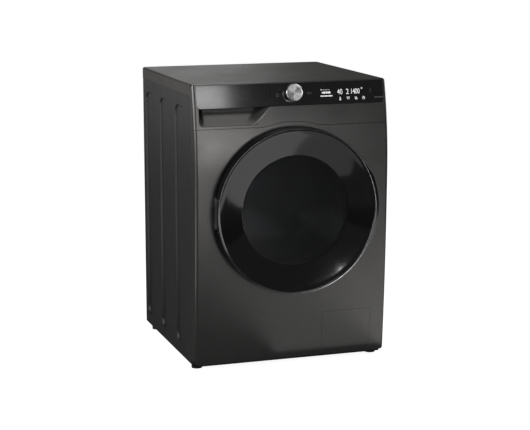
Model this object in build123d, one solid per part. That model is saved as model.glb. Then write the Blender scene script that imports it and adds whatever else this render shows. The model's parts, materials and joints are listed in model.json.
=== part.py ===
from build123d import *
from math import cos, radians, sin, sqrt
import os

# Front-loading washing machine, 600 mm class.
# X runs left to right seen from the front, Y from front to back, Z up from the floor.
# The origin is at floor level, under the middle of the overall box.
# "Depth" below always means the distance behind the fullest point of the bowed front.

# ---- overall ---------------------------------------------------------------------------
WIDTH = 600.0
HEIGHT = 850.0
BODY_DEPTH = 600.0  # fullest point of the front to the outside of the rear panel
DOOR_PROUD = 46.0  # chrome ring in front of the fullest point of the front
WORKTOP_OVERHANG = 15.0  # worktop past the rear panel
CABINET_BOTTOM = 16.0  # underside of the base above the floor
FRONT_BOTTOM = CABINET_BOTTOM + 5.5  # the front panel ends above the base's dark lip

# ---- bowed front -------------------------------------------------------------------------
BULGE_Z = HEIGHT - 260.0  # height of the fullest point
LOWER_BOW_RADIUS = 7500.0
UPPER_BOW_RADIUS = 1011.0
FRONT_CORNER = 10.0  # rounding of the upright front edges
FRONT_FOOT_CORNER = 10.0  # rounding of the front panel's two lower corners
FRONT_RETURN = 44.0  # depth at which the front mouldings end and the side panels start

# ---- sheet and moulding walls ---------------------------------------------------------------
SHEET = 1.2
FRONT_SHEET = 1.5
FASCIA_WALL = 6.0
FASCIA_SIDE = 3.0
PANEL_GAP = 0.3  # between the front mouldings and the sheets behind them
SEAM_GAP = 1.2  # between fascia and front panel

# ---- door opening and seam ---------------------------------------------------------------------
AXIS_Z = HEIGHT - 374.0  # height of the door's centre and of the drum axis
SEAM_Z = AXIS_Z + 245.5  # fascia above, front panel below
SEAM_ARCH = 259.5  # the seam climbs over the door on this radius
SEAM_BLEND = 80.0
DISH_RADIUS = 246.0
DISH_DEPTH = 14.0
MOUTH_RADIUS = 196.0

# ---- door -------------------------------------------------------------------------------------
DOOR_RADIUS = 249.0
RIM_BACK = -18.0  # depth of the rim's back edge
RIM_FRONT_RADIUS = 245.2
RIM_LIP = -44.4  # depth of the flat lip under the chrome ring
RING_INNER = 239.3
CONE_TOP = -43.0
WINDOW_RADIUS = 164.0
CONE_FOOT = -17.5
CONE_DISH = 4.0  # how far the cone sags below a straight line
DOOR_WALL = 3.0
GRIP_RADIUS = 259.5  # rim at the hand grip
GRIP_HALF_ANGLE = 19.0
GRIP_END_ANGLE = 32.0
GRIP_HEIGHT = 22.0
GRIP_DRAFT = 5.0  # how much the grip narrows towards the front
FRAME_RADIUS = 238.0
FRAME_BACK = 9.0
FRAME_HOLE = 176.0
WINDOW_SEAT = -11.0  # depth of the tinted window's back face
BOWL_FLANGE = 188.0
BOWL_FLANGE_BACK = 6.0
BOWL_RADIUS = 160.0
BOWL_END_RADIUS = 128.0
BOWL_DEPTH = 104.0
BOWL_WALL = 5.0

# ---- door hinge and catch --------------------------------------------------------------------------
HINGE_X = -236.0
HINGE_DEPTH = -31.0
PIN_RADIUS = 3.5
KNUCKLE_RADIUS = 5.5
HINGE_HALF = 46.0  # half the height of the bracket's knuckles
LEAF_HALF = 28.0
KNUCKLE_GAP = 2.0
HINGE_NOTCH_HALF = 50.0
HINGE_NOTCH_FRONT = -38.0
RUNNING_CLEARANCE = 0.06
HOOK_X = 220.0
HOOK_DEPTH = -4.0
HOOK_LENGTH = 36.0
HOOK_HEIGHT = 18.0
HOOK_SLOT_WIDTH = 20.0
HOOK_SLOT_HEIGHT = 24.0

# ---- control panel and drawer front ---------------------------------------------------------------------
PANEL_HALF = WIDTH / 2 - 12.5
PANEL_BOTTOM = HEIGHT - 69.0
PANEL_TOP = HEIGHT - 4.4
PANEL_THICKNESS = 3.0
PANEL_CORNER = 12.0
PANEL_POCKET = 3.2
FASCIA_TOP_STRIP = 4.0
DRAWER_RIGHT = -66.0
DRAWER_LEFT = 4.0 - PANEL_HALF
DRAWER_FOOT = SEAM_Z + 8.0
DRAWER_FOOT_RIGHT = -109.0
DRAWER_GAP = 0.8
DRAWER_FRONT_BACK = 42.0
PULL_LIP = 6.0  # thickness of the lip that the fingers hook behind
PULL_BACK = 38.0
PULL_TOP = PANEL_BOTTOM + 22.0
DIAL_X = 5.0
DIAL_Z = HEIGHT - 33.5
DIAL_RADIUS = 27.0
DIAL_HEIGHT = 19.0
DIAL_STANDOFF = 0.6
DIAL_SHAFT = 3.0
DIAL_SHAFT_LENGTH = 15.0
BOARD_THICKNESS = 12.0

# ---- detergent drawer -----------------------------------------------------------------------------------
BOX_LEFT = DRAWER_LEFT + 11.5
BOX_RIGHT = -112.0
BOX_BOTTOM = DRAWER_FOOT + 9.5
BOX_TOP = BOX_BOTTOM + 61.0
BOX_WALL = 2.0
HOUSING_WALL = 3.0
HOUSING_GAP = 4.0
RUNNER_GAP = 0.3
CHUTE_X = -150.0
CHUTE_RADIUS = 17.0

# ---- worktop ----------------------------------------------------------------------------------------------
WORKTOP_THICKNESS = 34.0
WORKTOP_EDGE = 6.0
WORKTOP_CORNER = 14.0
WORKTOP_SKIRT = 16.0
WORKTOP_CORE = 18.0

# ---- side panels -------------------------------------------------------------------------------------------
FLANGE = 18.0
RIB_COUNT = 3
RIB_FIRST = 161.0
RIB_LAST = BODY_DEPTH - 88.0
RIB_WIDTH = 118.0
RIB_BOTTOM = 44.0
RIB_TOP = HEIGHT - 71.0
RIB_DEPTH = 5.0
RIB_CORNER = 34.0
RIB_DRAFT = 38.0

# ---- rear panel ----------------------------------------------------------------------------------------------
SERVICE_HOLE = 192.0
SERVICE_COVER = 206.0
SERVICE_DOME = 5.0
TRANSIT_X = 165.0
TRANSIT_Z = 175.0
TRANSIT_RADIUS = 14.0

# ---- base, feet, braces ---------------------------------------------------------------------------------------
TRAY_FLOOR = 2.5
TRAY_WALL_TOP = 42.0
TRAY_FRONT = 48.0
TRAY_LIP_INSET = 11.0  # the dark lip under the front panel ends this far in from the sides
TRAY_LIP_SETBACK = 1.5
TRAY_LIP_CORNER = 8.0
FOOT_X = WIDTH / 2 - 22.0
FOOT_FRONT_DEPTH = 76.0
FOOT_REAR_DEPTH = BODY_DEPTH - 55.0
FOOT_RADIUS = 16.0
FOOT_PAD = 9.5
FOOT_STEM = 5.0
FOOT_STEM_TOP = 44.0
LOCKNUT_FLATS = 17.0
LOCKNUT_HEIGHT = 5.6
FOOT_BOSS = 11.0
BRACE_HEIGHT = 17.0
BRACE_WIDTH = 28.0
REAR_BRACE_DEPTH = BODY_DEPTH - 30.0

# ---- tub ----------------------------------------------------------------------------------------------------------
TUB_RADIUS = 261.0
TUB_WALL = 3.0
TUB_FRONT = 95.0
TUB_BACK = BODY_DEPTH - 114.0
TUB_SPLIT = TUB_BACK - 196.0
TUB_BACK_WALL = 6.0
TUB_RIM = 269.0
TUB_RIM_WIDTH = 9.0
NECK_RADIUS = 190.0
NECK_FRONT = 68.0
BEARING_HOUSING = 46.0
BEARING_HOUSING_BACK = BODY_DEPTH - 52.0
TUB_RIBS = 12

# ---- drum ---------------------------------------------------------------------------------------------------------
DRUM_RADIUS = 243.0
DRUM_WALL = 1.5
DRUM_FRONT = 118.0
DRUM_BACK = TUB_BACK - 24.0
DRUM_MOUTH = 186.0
LIFTER_HEIGHT = 40.0
LIFTER_BASE = 58.0
LIFTER_CREST = 22.0
LIFTER_FRONT = 150.0
LIFTER_BACK = DRUM_BACK - 32.0
LIFTERS = 3
SPIDER_THICKNESS = 14.0
SPIDER_HUB = 42.0
SPIDER_ARM = 40.0
SHAFT_RADIUS = 15.0
SHAFT_END = BODY_DEPTH - 26.0
BEARING_RADIUS = 31.0
BEARING_WIDTH = 16.0
FRONT_BEARING = TUB_BACK + 12.0
REAR_BEARING = BEARING_HOUSING_BACK - 18.0
SEAL_FRONT = TUB_BACK + 1.0
SEAL_RADIUS = 27.0
PULLEY_RADIUS = 150.0
PULLEY_FRONT = BODY_DEPTH - 47.0
PULLEY_WIDTH = 17.0
PULLEY_HOLES = 6
PULLEY_HOLE = 26.0

# ---- drive ----------------------------------------------------------------------------------------------------------
MOTOR_Z = AXIS_Z - 346.0
MOTOR_RADIUS = 60.0
MOTOR_WALL = 6.0
MOTOR_BACK = PULLEY_FRONT - 23.0
MOTOR_FRONT = MOTOR_BACK - 128.0
ROTOR_RADIUS = 46.0
ROTOR_SHAFT = 6.0
MOTOR_PULLEY = 10.0
BELT_GAP = 0.3
BELT_THICKNESS = 3.5
BELT_WIDTH = 13.0

# ---- suspension --------------------------------------------------------------------------------------------------
SPRING_X = 215.0
SPRING_BRACE_DEPTH = TUB_SPLIT + 46.0
SPRING_LUG_Z = AXIS_Z + 179.0
SPRING_LUG_FOOT = AXIS_Z + 124.0
SPRING_COIL = 11.0
SPRING_WIRE = 1.6
SPRING_PITCH = 9.0
DAMPER_X = 150.0
DAMPER_FRONT_DEPTH = 205.0
DAMPER_REAR_DEPTH = TUB_BACK - 61.0
DAMPER_RADIUS = 12.5
DAMPER_BORE = 10.8
PISTON_RADIUS = 10.4
ROD_RADIUS = 4.0
ROD_TOP = AXIS_Z - 236.0
DAMPER_TOP = ROD_TOP - 64.0
PISTON_FOOT = DAMPER_TOP - 76.0

# ---- counterweights and heater -----------------------------------------------------------------------------------
WEIGHT_INNER = 212.0
WEIGHT_OUTER = 257.0
WEIGHT_FRONT = 64.0
TOP_WEIGHT_HEIGHT = 40.0
TOP_WEIGHT_START = 50.0
TOP_WEIGHT_END = 88.0
TOP_WEIGHT_FRONT = 150.0
TOP_WEIGHT_BACK = TUB_SPLIT - TUB_RIM_WIDTH - 11.0
HEATER_ROD = 4.0
HEATER_ORBIT = 250.5
HEATER_HALF_SPAN = 24.0
HEATER_FRONT = TUB_BACK - 176.0

# ---- drain -----------------------------------------------------------------------------------------------------------
PUMP_X = 176.0
PUMP_Z = 95.0
PUMP_RADIUS = 34.0
PUMP_WALL = 3.0
PUMP_FRONT = 44.0
PUMP_CHAMBER = 140.0
PUMP_MOTOR_FRONT = 160.0
PUMP_BACK = 184.0
CAP_FRONT = 34.0
CAP_BACK = 62.0
IMPELLER_RADIUS = 18.0
SUMP_DEPTH = 116.0
NOZZLE_RADIUS = 14.0
NOZZLE_BORE = 11.0
SUMP_HOSE_RADIUS = 18.0
PUMP_NOZZLE_TOP = 150.0
SUMP_SPIGOT_END = AXIS_Z - 218.0
DRAIN_X = 224.0
DRAIN_Z = 110.0
DRAIN_RADIUS = 12.0
DRAIN_BORE = 8.5
DRAIN_SPIGOT = 10.5
DRAIN_END = BODY_DEPTH + 13.0

# ---- filter flap --------------------------------------------------------------------------------------------------
FLAP_LEFT = 98.0
FLAP_RIGHT = 251.5
FLAP_BOTTOM = 38.0
FLAP_TOP = 154.5
FLAP_CORNER = 20.0  # lower right
FLAP_SMALL_CORNER = 4.0  # the other three
FLAP_THICKNESS = 2.5
FLAP_GAP = 1.4
FLAP_HINGE_Z = 56.0
FLAP_HINGE_SETBACK = 4.6
FLAP_PIN = 1.6

# ---- water and mains inlets ---------------------------------------------------------------------------------------
INLET_X = -188.0
INLET_Z = HEIGHT - 78.0
INLET_THREAD = 13.2  # G 3/4 pipe thread, outside radius
INLET_END = BODY_DEPTH + 13.0
INLET_BORE = 5.0
FILL_HOSE_RADIUS = 8.5
FILL_HOSE_BORE = 6.0
GLAND_X = -230.0
GLAND_Z = 96.0
GLAND_RADIUS = 9.0
GLAND_BORE = 4.2
GLAND_FLANGE = 12.5
GLAND_FRONT = BODY_DEPTH - 12.0
GLAND_END = BODY_DEPTH + 4.0

# ---- depths that keep clear of the springs ---------------------------------------------------------------------------
HOUSING_BACK = SPRING_BRACE_DEPTH - 24.0
BOX_BACK = HOUSING_BACK - 12.0
CHUTE_DEPTH = TUB_SPLIT - 44.0

# ---- worked out ---------------------------------------------------------------------------------------------------
HALF = WIDTH / 2
FRONT_Y = DOOR_PROUD - (DOOR_PROUD + BODY_DEPTH + WORKTOP_OVERHANG) / 2
WORKTOP_BOTTOM = HEIGHT - WORKTOP_THICKNESS
SHEET_TOP = WORKTOP_BOTTOM - PANEL_GAP
SHEET_FRONT = FRONT_RETURN + PANEL_GAP
REAR_INSIDE = BODY_DEPTH - SHEET
SIDE_INSIDE = HALF - SHEET
FASCIA_CEILING = HEIGHT - FASCIA_TOP_STRIP
BRACE_BOTTOM = SHEET_TOP - BRACE_HEIGHT
REACH = 30.0  # how far cutting bodies stand out past what they cut


def at(depth):
    """Y of a point that lies this far behind the fullest point of the front."""
    return FRONT_Y + depth


def bow_depth(z, inset=0.0):
    """Depth of the bowed front surface at height z, or of a layer inset below it."""
    radius = UPPER_BOW_RADIUS if z > BULGE_Z else LOWER_BOW_RADIUS
    return radius - sqrt((radius - inset) ** 2 - (z - BULGE_Z) ** 2)


# ---- shape helpers ------------------------------------------------------------------------------------------------
def block(x0, x1, front, back, z0, z1):
    middle = Pos((x0 + x1) / 2, at((front + back) / 2), (z0 + z1) / 2)
    return middle * Box(x1 - x0, back - front, z1 - z0)


def slab(sketch, front, back):
    """A sketch drawn in X and Z, given thickness from one depth to another."""
    plane = Plane(origin=(0, at(back), 0), x_dir=(1, 0, 0), z_dir=(0, -1, 0))
    return extrude(plane * sketch, amount=back - front)


def disc(radius, front, back, x=0.0, z=AXIS_Z, hole=0.0):
    sketch = Pos(x, z) * Circle(radius)
    if hole:
        sketch -= Pos(x, z) * Circle(hole)
    return slab(sketch, front, back)


def post(radius, x, depth, z0, z1, hole=0.0):
    """An upright cylinder, or a tube when it has a hole."""
    sketch = Circle(radius)
    if hole:
        sketch -= Circle(hole)
    return Pos(x, at(depth), z0) * extrude(sketch, amount=z1 - z0)


def turned(outline):
    """A closed (radius, depth) outline turned round the drum axis."""
    centre = Plane(origin=(0, FRONT_Y, AXIS_Z), x_dir=(1, 0, 0), z_dir=(0, 0, 1))
    face = make_face(Polyline(*outline, close=True))
    return revolve(centre * face, axis=Axis((0, FRONT_Y, AXIS_Z), (0, 1, 0)), revolution_arc=360)


def rectangle(x0, x1, z0, z1):
    return Pos((x0 + x1) / 2, (z0 + z1) / 2) * Rectangle(x1 - x0, z1 - z0)


def corner_round(sketch, x, z, radius):
    """Rounds the sketch corner nearest to a point."""
    corner = sketch.vertices().sort_by_distance((x, z, 0))[0]
    return fillet(corner, radius)


def bow_arc(z0, z1, inset):
    middle = (z0 + z1) / 2
    ends = [(at(bow_depth(z, inset)), z) for z in (z0, middle, z1)]
    return ThreePointArc(*ends)


def bow_block(half, z0, z1, inset, back, corner=0.0):
    """A block whose front face follows the bow, inset below the outer surface."""
    arcs = []
    if z0 < BULGE_Z:
        arcs.append(bow_arc(z0, min(z1, BULGE_Z), inset))
    if z1 > BULGE_Z:
        arcs.append(bow_arc(max(z0, BULGE_Z), z1, inset))
    sides = Polyline(arcs[-1] @ 1, (at(back), z1), (at(back), z0), arcs[0] @ 0)
    profile = make_face(Curve() + arcs + sides)
    body = extrude(Plane.YZ * profile, amount=half, both=True)
    if corner:
        body = fillet(body.edges().filter_by(GeomType.CIRCLE), corner)
    return body


def front_skin(sketch, inset0, inset1):
    """The part of a layer of the front that lies inside a sketch drawn in X and Z."""
    box = sketch.bounding_box()
    low, high = box.min.Y - 1, box.max.Y + 1
    layer = bow_block(HALF + REACH, low, high, inset0, FRONT_RETURN)
    layer -= bow_block(HALF + 2 * REACH, low - 1, high + 1, inset1, FRONT_RETURN + 1)
    return layer & slab(sketch, -REACH, FRONT_RETURN + REACH)


def dial_plane():
    """Plane on the panel's surface, under the dial, facing along the dial's axis."""
    lean = (DIAL_Z - BULGE_Z) / UPPER_BOW_RADIUS
    outward = (0, -sqrt(1 - lean**2), lean)
    return Plane(origin=(DIAL_X, at(bow_depth(DIAL_Z)), DIAL_Z), x_dir=(1, 0, 0), z_dir=outward)


def dial_rod(radius, start, end):
    """A cylinder on the dial's axis, from one distance off the panel to another."""
    return dial_plane() * Pos(0, 0, start) * extrude(Circle(radius), amount=end - start)


# ---- outer casing ------------------------------------------------------------------------------------------------------
def side_panel(side):
    """One side sheet: turned-in flanges front and rear, and pressed-in upright ribs."""
    sheet = block(SIDE_INSIDE, HALF, SHEET_FRONT, BODY_DEPTH, CABINET_BOTTOM, SHEET_TOP)
    for front in (SHEET_FRONT, REAR_INSIDE - SHEET - PANEL_GAP):
        inner = SIDE_INSIDE - FLANGE
        sheet += block(inner, SIDE_INSIDE, front, front + SHEET, CABINET_BOTTOM, SHEET_TOP)
    rib_height = RIB_TOP - RIB_BOTTOM
    for index in range(RIB_COUNT):
        depth = RIB_FIRST + index * (RIB_LAST - RIB_FIRST) / (RIB_COUNT - 1)
        plane = Plane(origin=(HALF, at(depth), RIB_BOTTOM + rib_height / 2), x_dir=(0, 1, 0), z_dir=(-1, 0, 0))
        outer = RectangleRounded(RIB_WIDTH, rib_height, RIB_CORNER)
        inner = RectangleRounded(RIB_WIDTH - 2 * SHEET, rib_height - 2 * SHEET, RIB_CORNER - SHEET)
        sheet += extrude(plane * outer, amount=RIB_DEPTH + SHEET, taper=RIB_DRAFT)
        sheet -= extrude(plane * inner, amount=RIB_DEPTH, taper=RIB_DRAFT)
    if side < 0:
        sheet = mirror(sheet, about=Plane.YZ)
    return sheet


def rear_panel():
    panel = block(-SIDE_INSIDE, SIDE_INSIDE, REAR_INSIDE, BODY_DEPTH, CABINET_BOTTOM, SHEET_TOP)
    cut = (REAR_INSIDE - 1, BODY_DEPTH + 1)
    panel -= disc(SERVICE_HOLE, *cut)
    for x in (-TRANSIT_X, TRANSIT_X):
        for z in (AXIS_Z - TRANSIT_Z, AXIS_Z + TRANSIT_Z):
            panel -= disc(TRANSIT_RADIUS, *cut, x=x, z=z)
    panel -= disc(INLET_THREAD + 1, *cut, x=INLET_X, z=INLET_Z)
    panel -= disc(GLAND_RADIUS + PANEL_GAP, *cut, x=GLAND_X, z=GLAND_Z)
    panel -= disc(DRAIN_RADIUS + 1, *cut, x=DRAIN_X, z=DRAIN_Z)
    return panel


def rear_service_cover():
    """Round cover over the belt, with a raised ring pressed into it."""
    outer = BODY_DEPTH
    skin = SHEET
    raised = SERVICE_HOLE - 20
    core = raised - 40
    return turned(
        [
            (0, outer),
            (core - SERVICE_DOME, outer),
            (core, outer + SERVICE_DOME),
            (raised, outer + SERVICE_DOME),
            (raised + SERVICE_DOME, outer),
            (SERVICE_COVER, outer),
            (SERVICE_COVER, outer + skin),
            (raised + SERVICE_DOME + skin / 2, outer + skin),
            (raised + skin / 2, outer + SERVICE_DOME + skin),
            (core - skin / 2, outer + SERVICE_DOME + skin),
            (core - SERVICE_DOME - skin / 2, outer + skin),
            (0, outer + skin),
        ]
    )


def foot_places():
    return [(x, depth) for depth in (FOOT_FRONT_DEPTH, FOOT_REAR_DEPTH) for x in (-FOOT_X, FOOT_X)]


def base_tray():
    """Shallow floor pan that carries the feet, the dampers and the pump."""
    back = REAR_INSIDE - FLANGE / 6
    tray = block(-SIDE_INSIDE, SIDE_INSIDE, TRAY_FRONT, back, CABINET_BOTTOM, TRAY_WALL_TOP)
    wall = TRAY_FLOOR
    floor_top = CABINET_BOTTOM + TRAY_FLOOR
    inside = SIDE_INSIDE - wall
    tray -= block(-inside, inside, TRAY_FRONT + wall, back - wall, floor_top, TRAY_WALL_TOP + 1)
    lip_front = bow_depth(CABINET_BOTTOM) + TRAY_LIP_SETBACK
    half = HALF - TRAY_LIP_INSET
    lip = rectangle(-half, half, at(lip_front), at(FRONT_RETURN))
    for x in (-half, half):
        lip = corner_round(lip, x, at(lip_front), TRAY_LIP_CORNER)
    between_sides = SIDE_INSIDE - FLANGE - PANEL_GAP
    lip += rectangle(-between_sides, between_sides, at(FRONT_RETURN - 1), at(TRAY_FRONT + wall))
    lip_top = FRONT_BOTTOM - PANEL_GAP
    tray += Pos(0, 0, CABINET_BOTTOM) * extrude(lip, amount=lip_top - CABINET_BOTTOM)
    for x, depth in foot_places():
        tray += post(FOOT_BOSS, x, depth, CABINET_BOTTOM, FOOT_STEM_TOP)
        tray -= post(FOOT_STEM + RUNNING_CLEARANCE, x, depth, 0, FOOT_STEM_TOP + 1)
    return tray


def cabinet_top_braces():
    """Two U-section cross bars; the front one carries the tub's springs."""
    bars = Part()
    for depth in (SPRING_BRACE_DEPTH, REAR_BRACE_DEPTH):
        front, back = depth - BRACE_WIDTH / 2, depth + BRACE_WIDTH / 2
        bar = block(-SIDE_INSIDE, SIDE_INSIDE, front, back, BRACE_BOTTOM, SHEET_TOP)
        trough = block(
            -HALF, HALF, front + FRONT_SHEET, back - FRONT_SHEET, BRACE_BOTTOM + FRONT_SHEET, HEIGHT
        )
        bars += bar - trough
    for x in (-SPRING_X, SPRING_X):
        peg_radius = SPRING_COIL - SPRING_WIRE - PANEL_GAP
        bars += post(peg_radius, x, SPRING_BRACE_DEPTH, BRACE_BOTTOM - SPRING_PITCH, BRACE_BOTTOM + 1)
    return bars


def seam_region(seam_z, arch):
    """Everything above the seam, drawn in X and Z, with the arch that clears the door."""
    region = rectangle(-WIDTH, WIDTH, seam_z, HEIGHT + REACH) - Pos(0, AXIS_Z) * Circle(arch)
    reach = sqrt(arch**2 - (seam_z - AXIS_Z) ** 2)
    region = corner_round(region, -reach, seam_z, SEAM_BLEND)
    return corner_round(region, reach, seam_z, SEAM_BLEND)


def flap_outline(grow):
    outline = rectangle(FLAP_LEFT - grow, FLAP_RIGHT + grow, FLAP_BOTTOM - grow, FLAP_TOP + grow)
    outline = corner_round(outline, FLAP_RIGHT, FLAP_BOTTOM, FLAP_CORNER + grow)
    for x, z in ((FLAP_LEFT, FLAP_BOTTOM), (FLAP_LEFT, FLAP_TOP), (FLAP_RIGHT, FLAP_TOP)):
        outline = corner_round(outline, x, z, FLAP_SMALL_CORNER + grow)
    return outline


def flap_axis_depth():
    return bow_depth(FLAP_HINGE_Z) + FLAP_HINGE_SETBACK


def foot_rounded(inset):
    """The front's outline in X and Z with its two lower corners rounded, or a smaller one inside it."""
    half = HALF - inset
    outline = rectangle(-half, half, FRONT_BOTTOM + inset, HEIGHT + REACH)
    for x in (-half, half):
        outline = corner_round(outline, x, FRONT_BOTTOM, FRONT_FOOT_CORNER - inset)
    return outline


def front_panel():
    """Bowed sheet front with the door's dish and mouth, the catch slot and the flap opening."""
    sheet = FRONT_SHEET
    top = AXIS_Z + SEAM_ARCH + SEAM_GAP
    body = bow_block(HALF, FRONT_BOTTOM, top, 0, FRONT_RETURN, FRONT_CORNER)
    body &= slab(foot_rounded(0), -REACH, FRONT_RETURN)
    hollow = bow_block(
        HALF - sheet, FRONT_BOTTOM + sheet, top + 1, sheet, FRONT_RETURN + 1, FRONT_CORNER - sheet
    )
    hollow &= slab(foot_rounded(sheet), -REACH, FRONT_RETURN + 1)
    dish_plug = disc(DISH_RADIUS + sheet, -REACH, DISH_DEPTH + sheet) & body
    panel = body - hollow + dish_plug
    panel -= disc(DISH_RADIUS, -REACH, DISH_DEPTH)
    panel -= disc(MOUTH_RADIUS, -REACH, FRONT_RETURN)
    panel -= slab(seam_region(SEAM_Z, SEAM_ARCH), -REACH, FRONT_RETURN + REACH)
    panel -= block(
        HOOK_X - HOOK_SLOT_WIDTH / 2,
        HOOK_X + HOOK_SLOT_WIDTH / 2,
        0,
        FRONT_RETURN,
        AXIS_Z - HOOK_SLOT_HEIGHT / 2,
        AXIS_Z + HOOK_SLOT_HEIGHT / 2,
    )
    axis_depth = flap_axis_depth()
    for x in (FLAP_LEFT - 1.5 * FLAP_GAP - 4, FLAP_RIGHT + 1.5 * FLAP_GAP):
        z0, z1 = FLAP_HINGE_Z - 4.5, FLAP_HINGE_Z + 4.5
        panel += block(x, x + 4, axis_depth - FLAP_HINGE_SETBACK + sheet / 2, axis_depth + 5, z0, z1)
    panel -= slab(flap_outline(FLAP_GAP), -REACH, FRONT_RETURN)
    pin_hole = Circle(FLAP_PIN + RUNNING_CLEARANCE)
    across = Plane(origin=(0, at(axis_depth), FLAP_HINGE_Z), x_dir=(0, 1, 0), z_dir=(1, 0, 0))
    panel -= across * Pos(0, 0, FLAP_LEFT - 10) * extrude(pin_hole, amount=FLAP_RIGHT - FLAP_LEFT + 20)
    return panel


def worktop():
    back = BODY_DEPTH + WORKTOP_OVERHANG
    front = FRONT_RETURN + PANEL_GAP
    slab_body = block(-HALF, HALF, front, back, WORKTOP_BOTTOM, HEIGHT)
    rear_corners = slab_body.edges().filter_by(Axis.Z).group_by(Axis.Y)[-1]
    slab_body = fillet(rear_corners, WORKTOP_CORNER)
    top = slab_body.faces().sort_by(Axis.Z)[-1]
    front_edge = top.edges().sort_by(Axis.Y)[0]
    rounded = [edge for edge in top.edges() if edge != front_edge]
    slab_body = fillet(rounded, WORKTOP_EDGE)
    inside = HALF - WORKTOP_SKIRT
    slab_body -= block(
        -inside,
        inside,
        front + WORKTOP_SKIRT,
        back - 2 * WORKTOP_SKIRT,
        WORKTOP_BOTTOM - 1,
        HEIGHT - WORKTOP_CORE,
    )
    return slab_body


# ---- console -------------------------------------------------------------------------------------------------------------
def drawer_outline(gap):
    """Outline of the drawer front in X and Z: upright left edge, slanted lower right."""
    outline = make_face(
        Polyline(
            (DRAWER_LEFT, DRAWER_FOOT),
            (DRAWER_FOOT_RIGHT, DRAWER_FOOT),
            (DRAWER_RIGHT, PANEL_BOTTOM),
            (DRAWER_RIGHT, PANEL_TOP),
            (DRAWER_LEFT, PANEL_TOP),
            close=True,
        )
    )
    outline = corner_round(outline, DRAWER_LEFT, DRAWER_FOOT, PANEL_CORNER)
    outline = corner_round(outline, DRAWER_FOOT_RIGHT, DRAWER_FOOT, PANEL_CORNER)
    return offset(outline, -gap, kind=Kind.INTERSECTION) if gap else outline


def console_bosses():
    """Screw posts (x, z) behind the fascia: two for the drawer housing, four for the board."""
    heights = (PANEL_BOTTOM + 9, WORKTOP_BOTTOM - 9)
    housing = [(DRAWER_RIGHT + 8, z) for z in heights]
    board = [(x, z) for x in (DIAL_X + 25, PANEL_HALF - 20) for z in heights]
    return housing + board


def console_fascia():
    top = HEIGHT
    body = bow_block(HALF, SEAM_Z - SEAM_GAP, top, 0, FRONT_RETURN, FRONT_CORNER)
    hollow = bow_block(
        HALF - FASCIA_SIDE, SEAM_Z - REACH, FASCIA_CEILING, FASCIA_WALL, FRONT_RETURN + 1, FRONT_CORNER / 2
    )
    fascia = body - hollow
    fascia &= slab(seam_region(SEAM_Z + SEAM_GAP, SEAM_ARCH + SEAM_GAP), -REACH, FRONT_RETURN + REACH)
    for x, z in console_bosses():
        foot = bow_depth(z) + FASCIA_WALL / 2 + PANEL_POCKET / 2
        fascia += disc(5.0, foot, FRONT_RETURN, x=x, z=z)
    grow = DRAWER_GAP
    pocket = rectangle(-PANEL_HALF - grow, PANEL_HALF + grow, PANEL_BOTTOM - grow, FASCIA_CEILING)
    for x in (-PANEL_HALF, PANEL_HALF):
        pocket = corner_round(pocket, x, PANEL_BOTTOM, PANEL_CORNER)
    fascia -= front_skin(pocket, -1, PANEL_POCKET)
    fascia -= slab(drawer_outline(0), -REACH, FRONT_RETURN + REACH)
    fascia -= dial_rod(DIAL_SHAFT + 1, -REACH, REACH)
    return fascia


def panel_piece(left, right, rounded_x):
    """A piece of the black panel skin, with one rounded bottom corner."""
    outline = rectangle(left, right, PANEL_BOTTOM, PANEL_TOP)
    outline = corner_round(outline, rounded_x, PANEL_BOTTOM, PANEL_CORNER)
    return front_skin(outline, 0, PANEL_THICKNESS)


def control_panel():
    panel = panel_piece(DRAWER_RIGHT + DRAWER_GAP, PANEL_HALF, PANEL_HALF)
    return panel - dial_rod(DIAL_SHAFT + 1, -REACH, REACH)


def drawer_trim():
    return panel_piece(-PANEL_HALF, DRAWER_RIGHT - DRAWER_GAP, -PANEL_HALF)


def drawer_front():
    """Drawer front with the scooped finger pull below and behind its glossy trim."""
    body = bow_block(HALF, DRAWER_FOOT, PANEL_TOP, 0, DRAWER_FRONT_BACK)
    body &= slab(drawer_outline(DRAWER_GAP), -REACH, DRAWER_FRONT_BACK)
    above = rectangle(-HALF, HALF, PANEL_BOTTOM, PANEL_TOP + 1)
    body -= front_skin(above, -1, PANEL_THICKNESS)
    mouth = make_face(
        Polyline(
            (DRAWER_LEFT + 3, DRAWER_FOOT + 2),
            (DRAWER_FOOT_RIGHT - 1, DRAWER_FOOT + 2),
            (DRAWER_RIGHT - 22, PANEL_BOTTOM),
            (DRAWER_RIGHT - 22, PULL_TOP),
            (DRAWER_LEFT + 3, PULL_TOP),
            close=True,
        )
    )
    bottom = make_face(
        Polyline(
            (DRAWER_LEFT + 16, PANEL_BOTTOM - 10),
            (DRAWER_FOOT_RIGHT - 40, PANEL_BOTTOM - 10),
            (DRAWER_RIGHT - 60, PANEL_BOTTOM),
            (DRAWER_RIGHT - 60, PULL_TOP),
            (DRAWER_LEFT + 16, PULL_TOP),
            close=True,
        )
    )
    mouth = corner_round(mouth, DRAWER_LEFT, DRAWER_FOOT, PANEL_CORNER)
    bottom = corner_round(bottom, DRAWER_LEFT, PANEL_BOTTOM - 10, PANEL_CORNER / 2)
    mouth_plane = Plane(origin=(0, at(bow_depth(DRAWER_FOOT) - 2), 0), x_dir=(1, 0, 0), z_dir=(0, -1, 0))
    bottom_plane = Plane(origin=(0, at(PULL_BACK), 0), x_dir=(1, 0, 0), z_dir=(0, -1, 0))
    scoop = loft([bottom_plane * bottom, mouth_plane * mouth])
    scoop -= front_skin(above, -REACH, PULL_LIP)
    return body - scoop


def drawer_box():
    """Three-compartment detergent box, open at the top."""
    front = DRAWER_FRONT_BACK
    box = block(BOX_LEFT, BOX_RIGHT, front, BOX_BACK, BOX_BOTTOM, BOX_TOP)
    for x0, x1 in drawer_compartments():
        box -= block(x0, x1, front + BOX_WALL, BOX_BACK - BOX_WALL, BOX_BOTTOM + BOX_WALL, BOX_TOP + 1)
    return box


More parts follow.
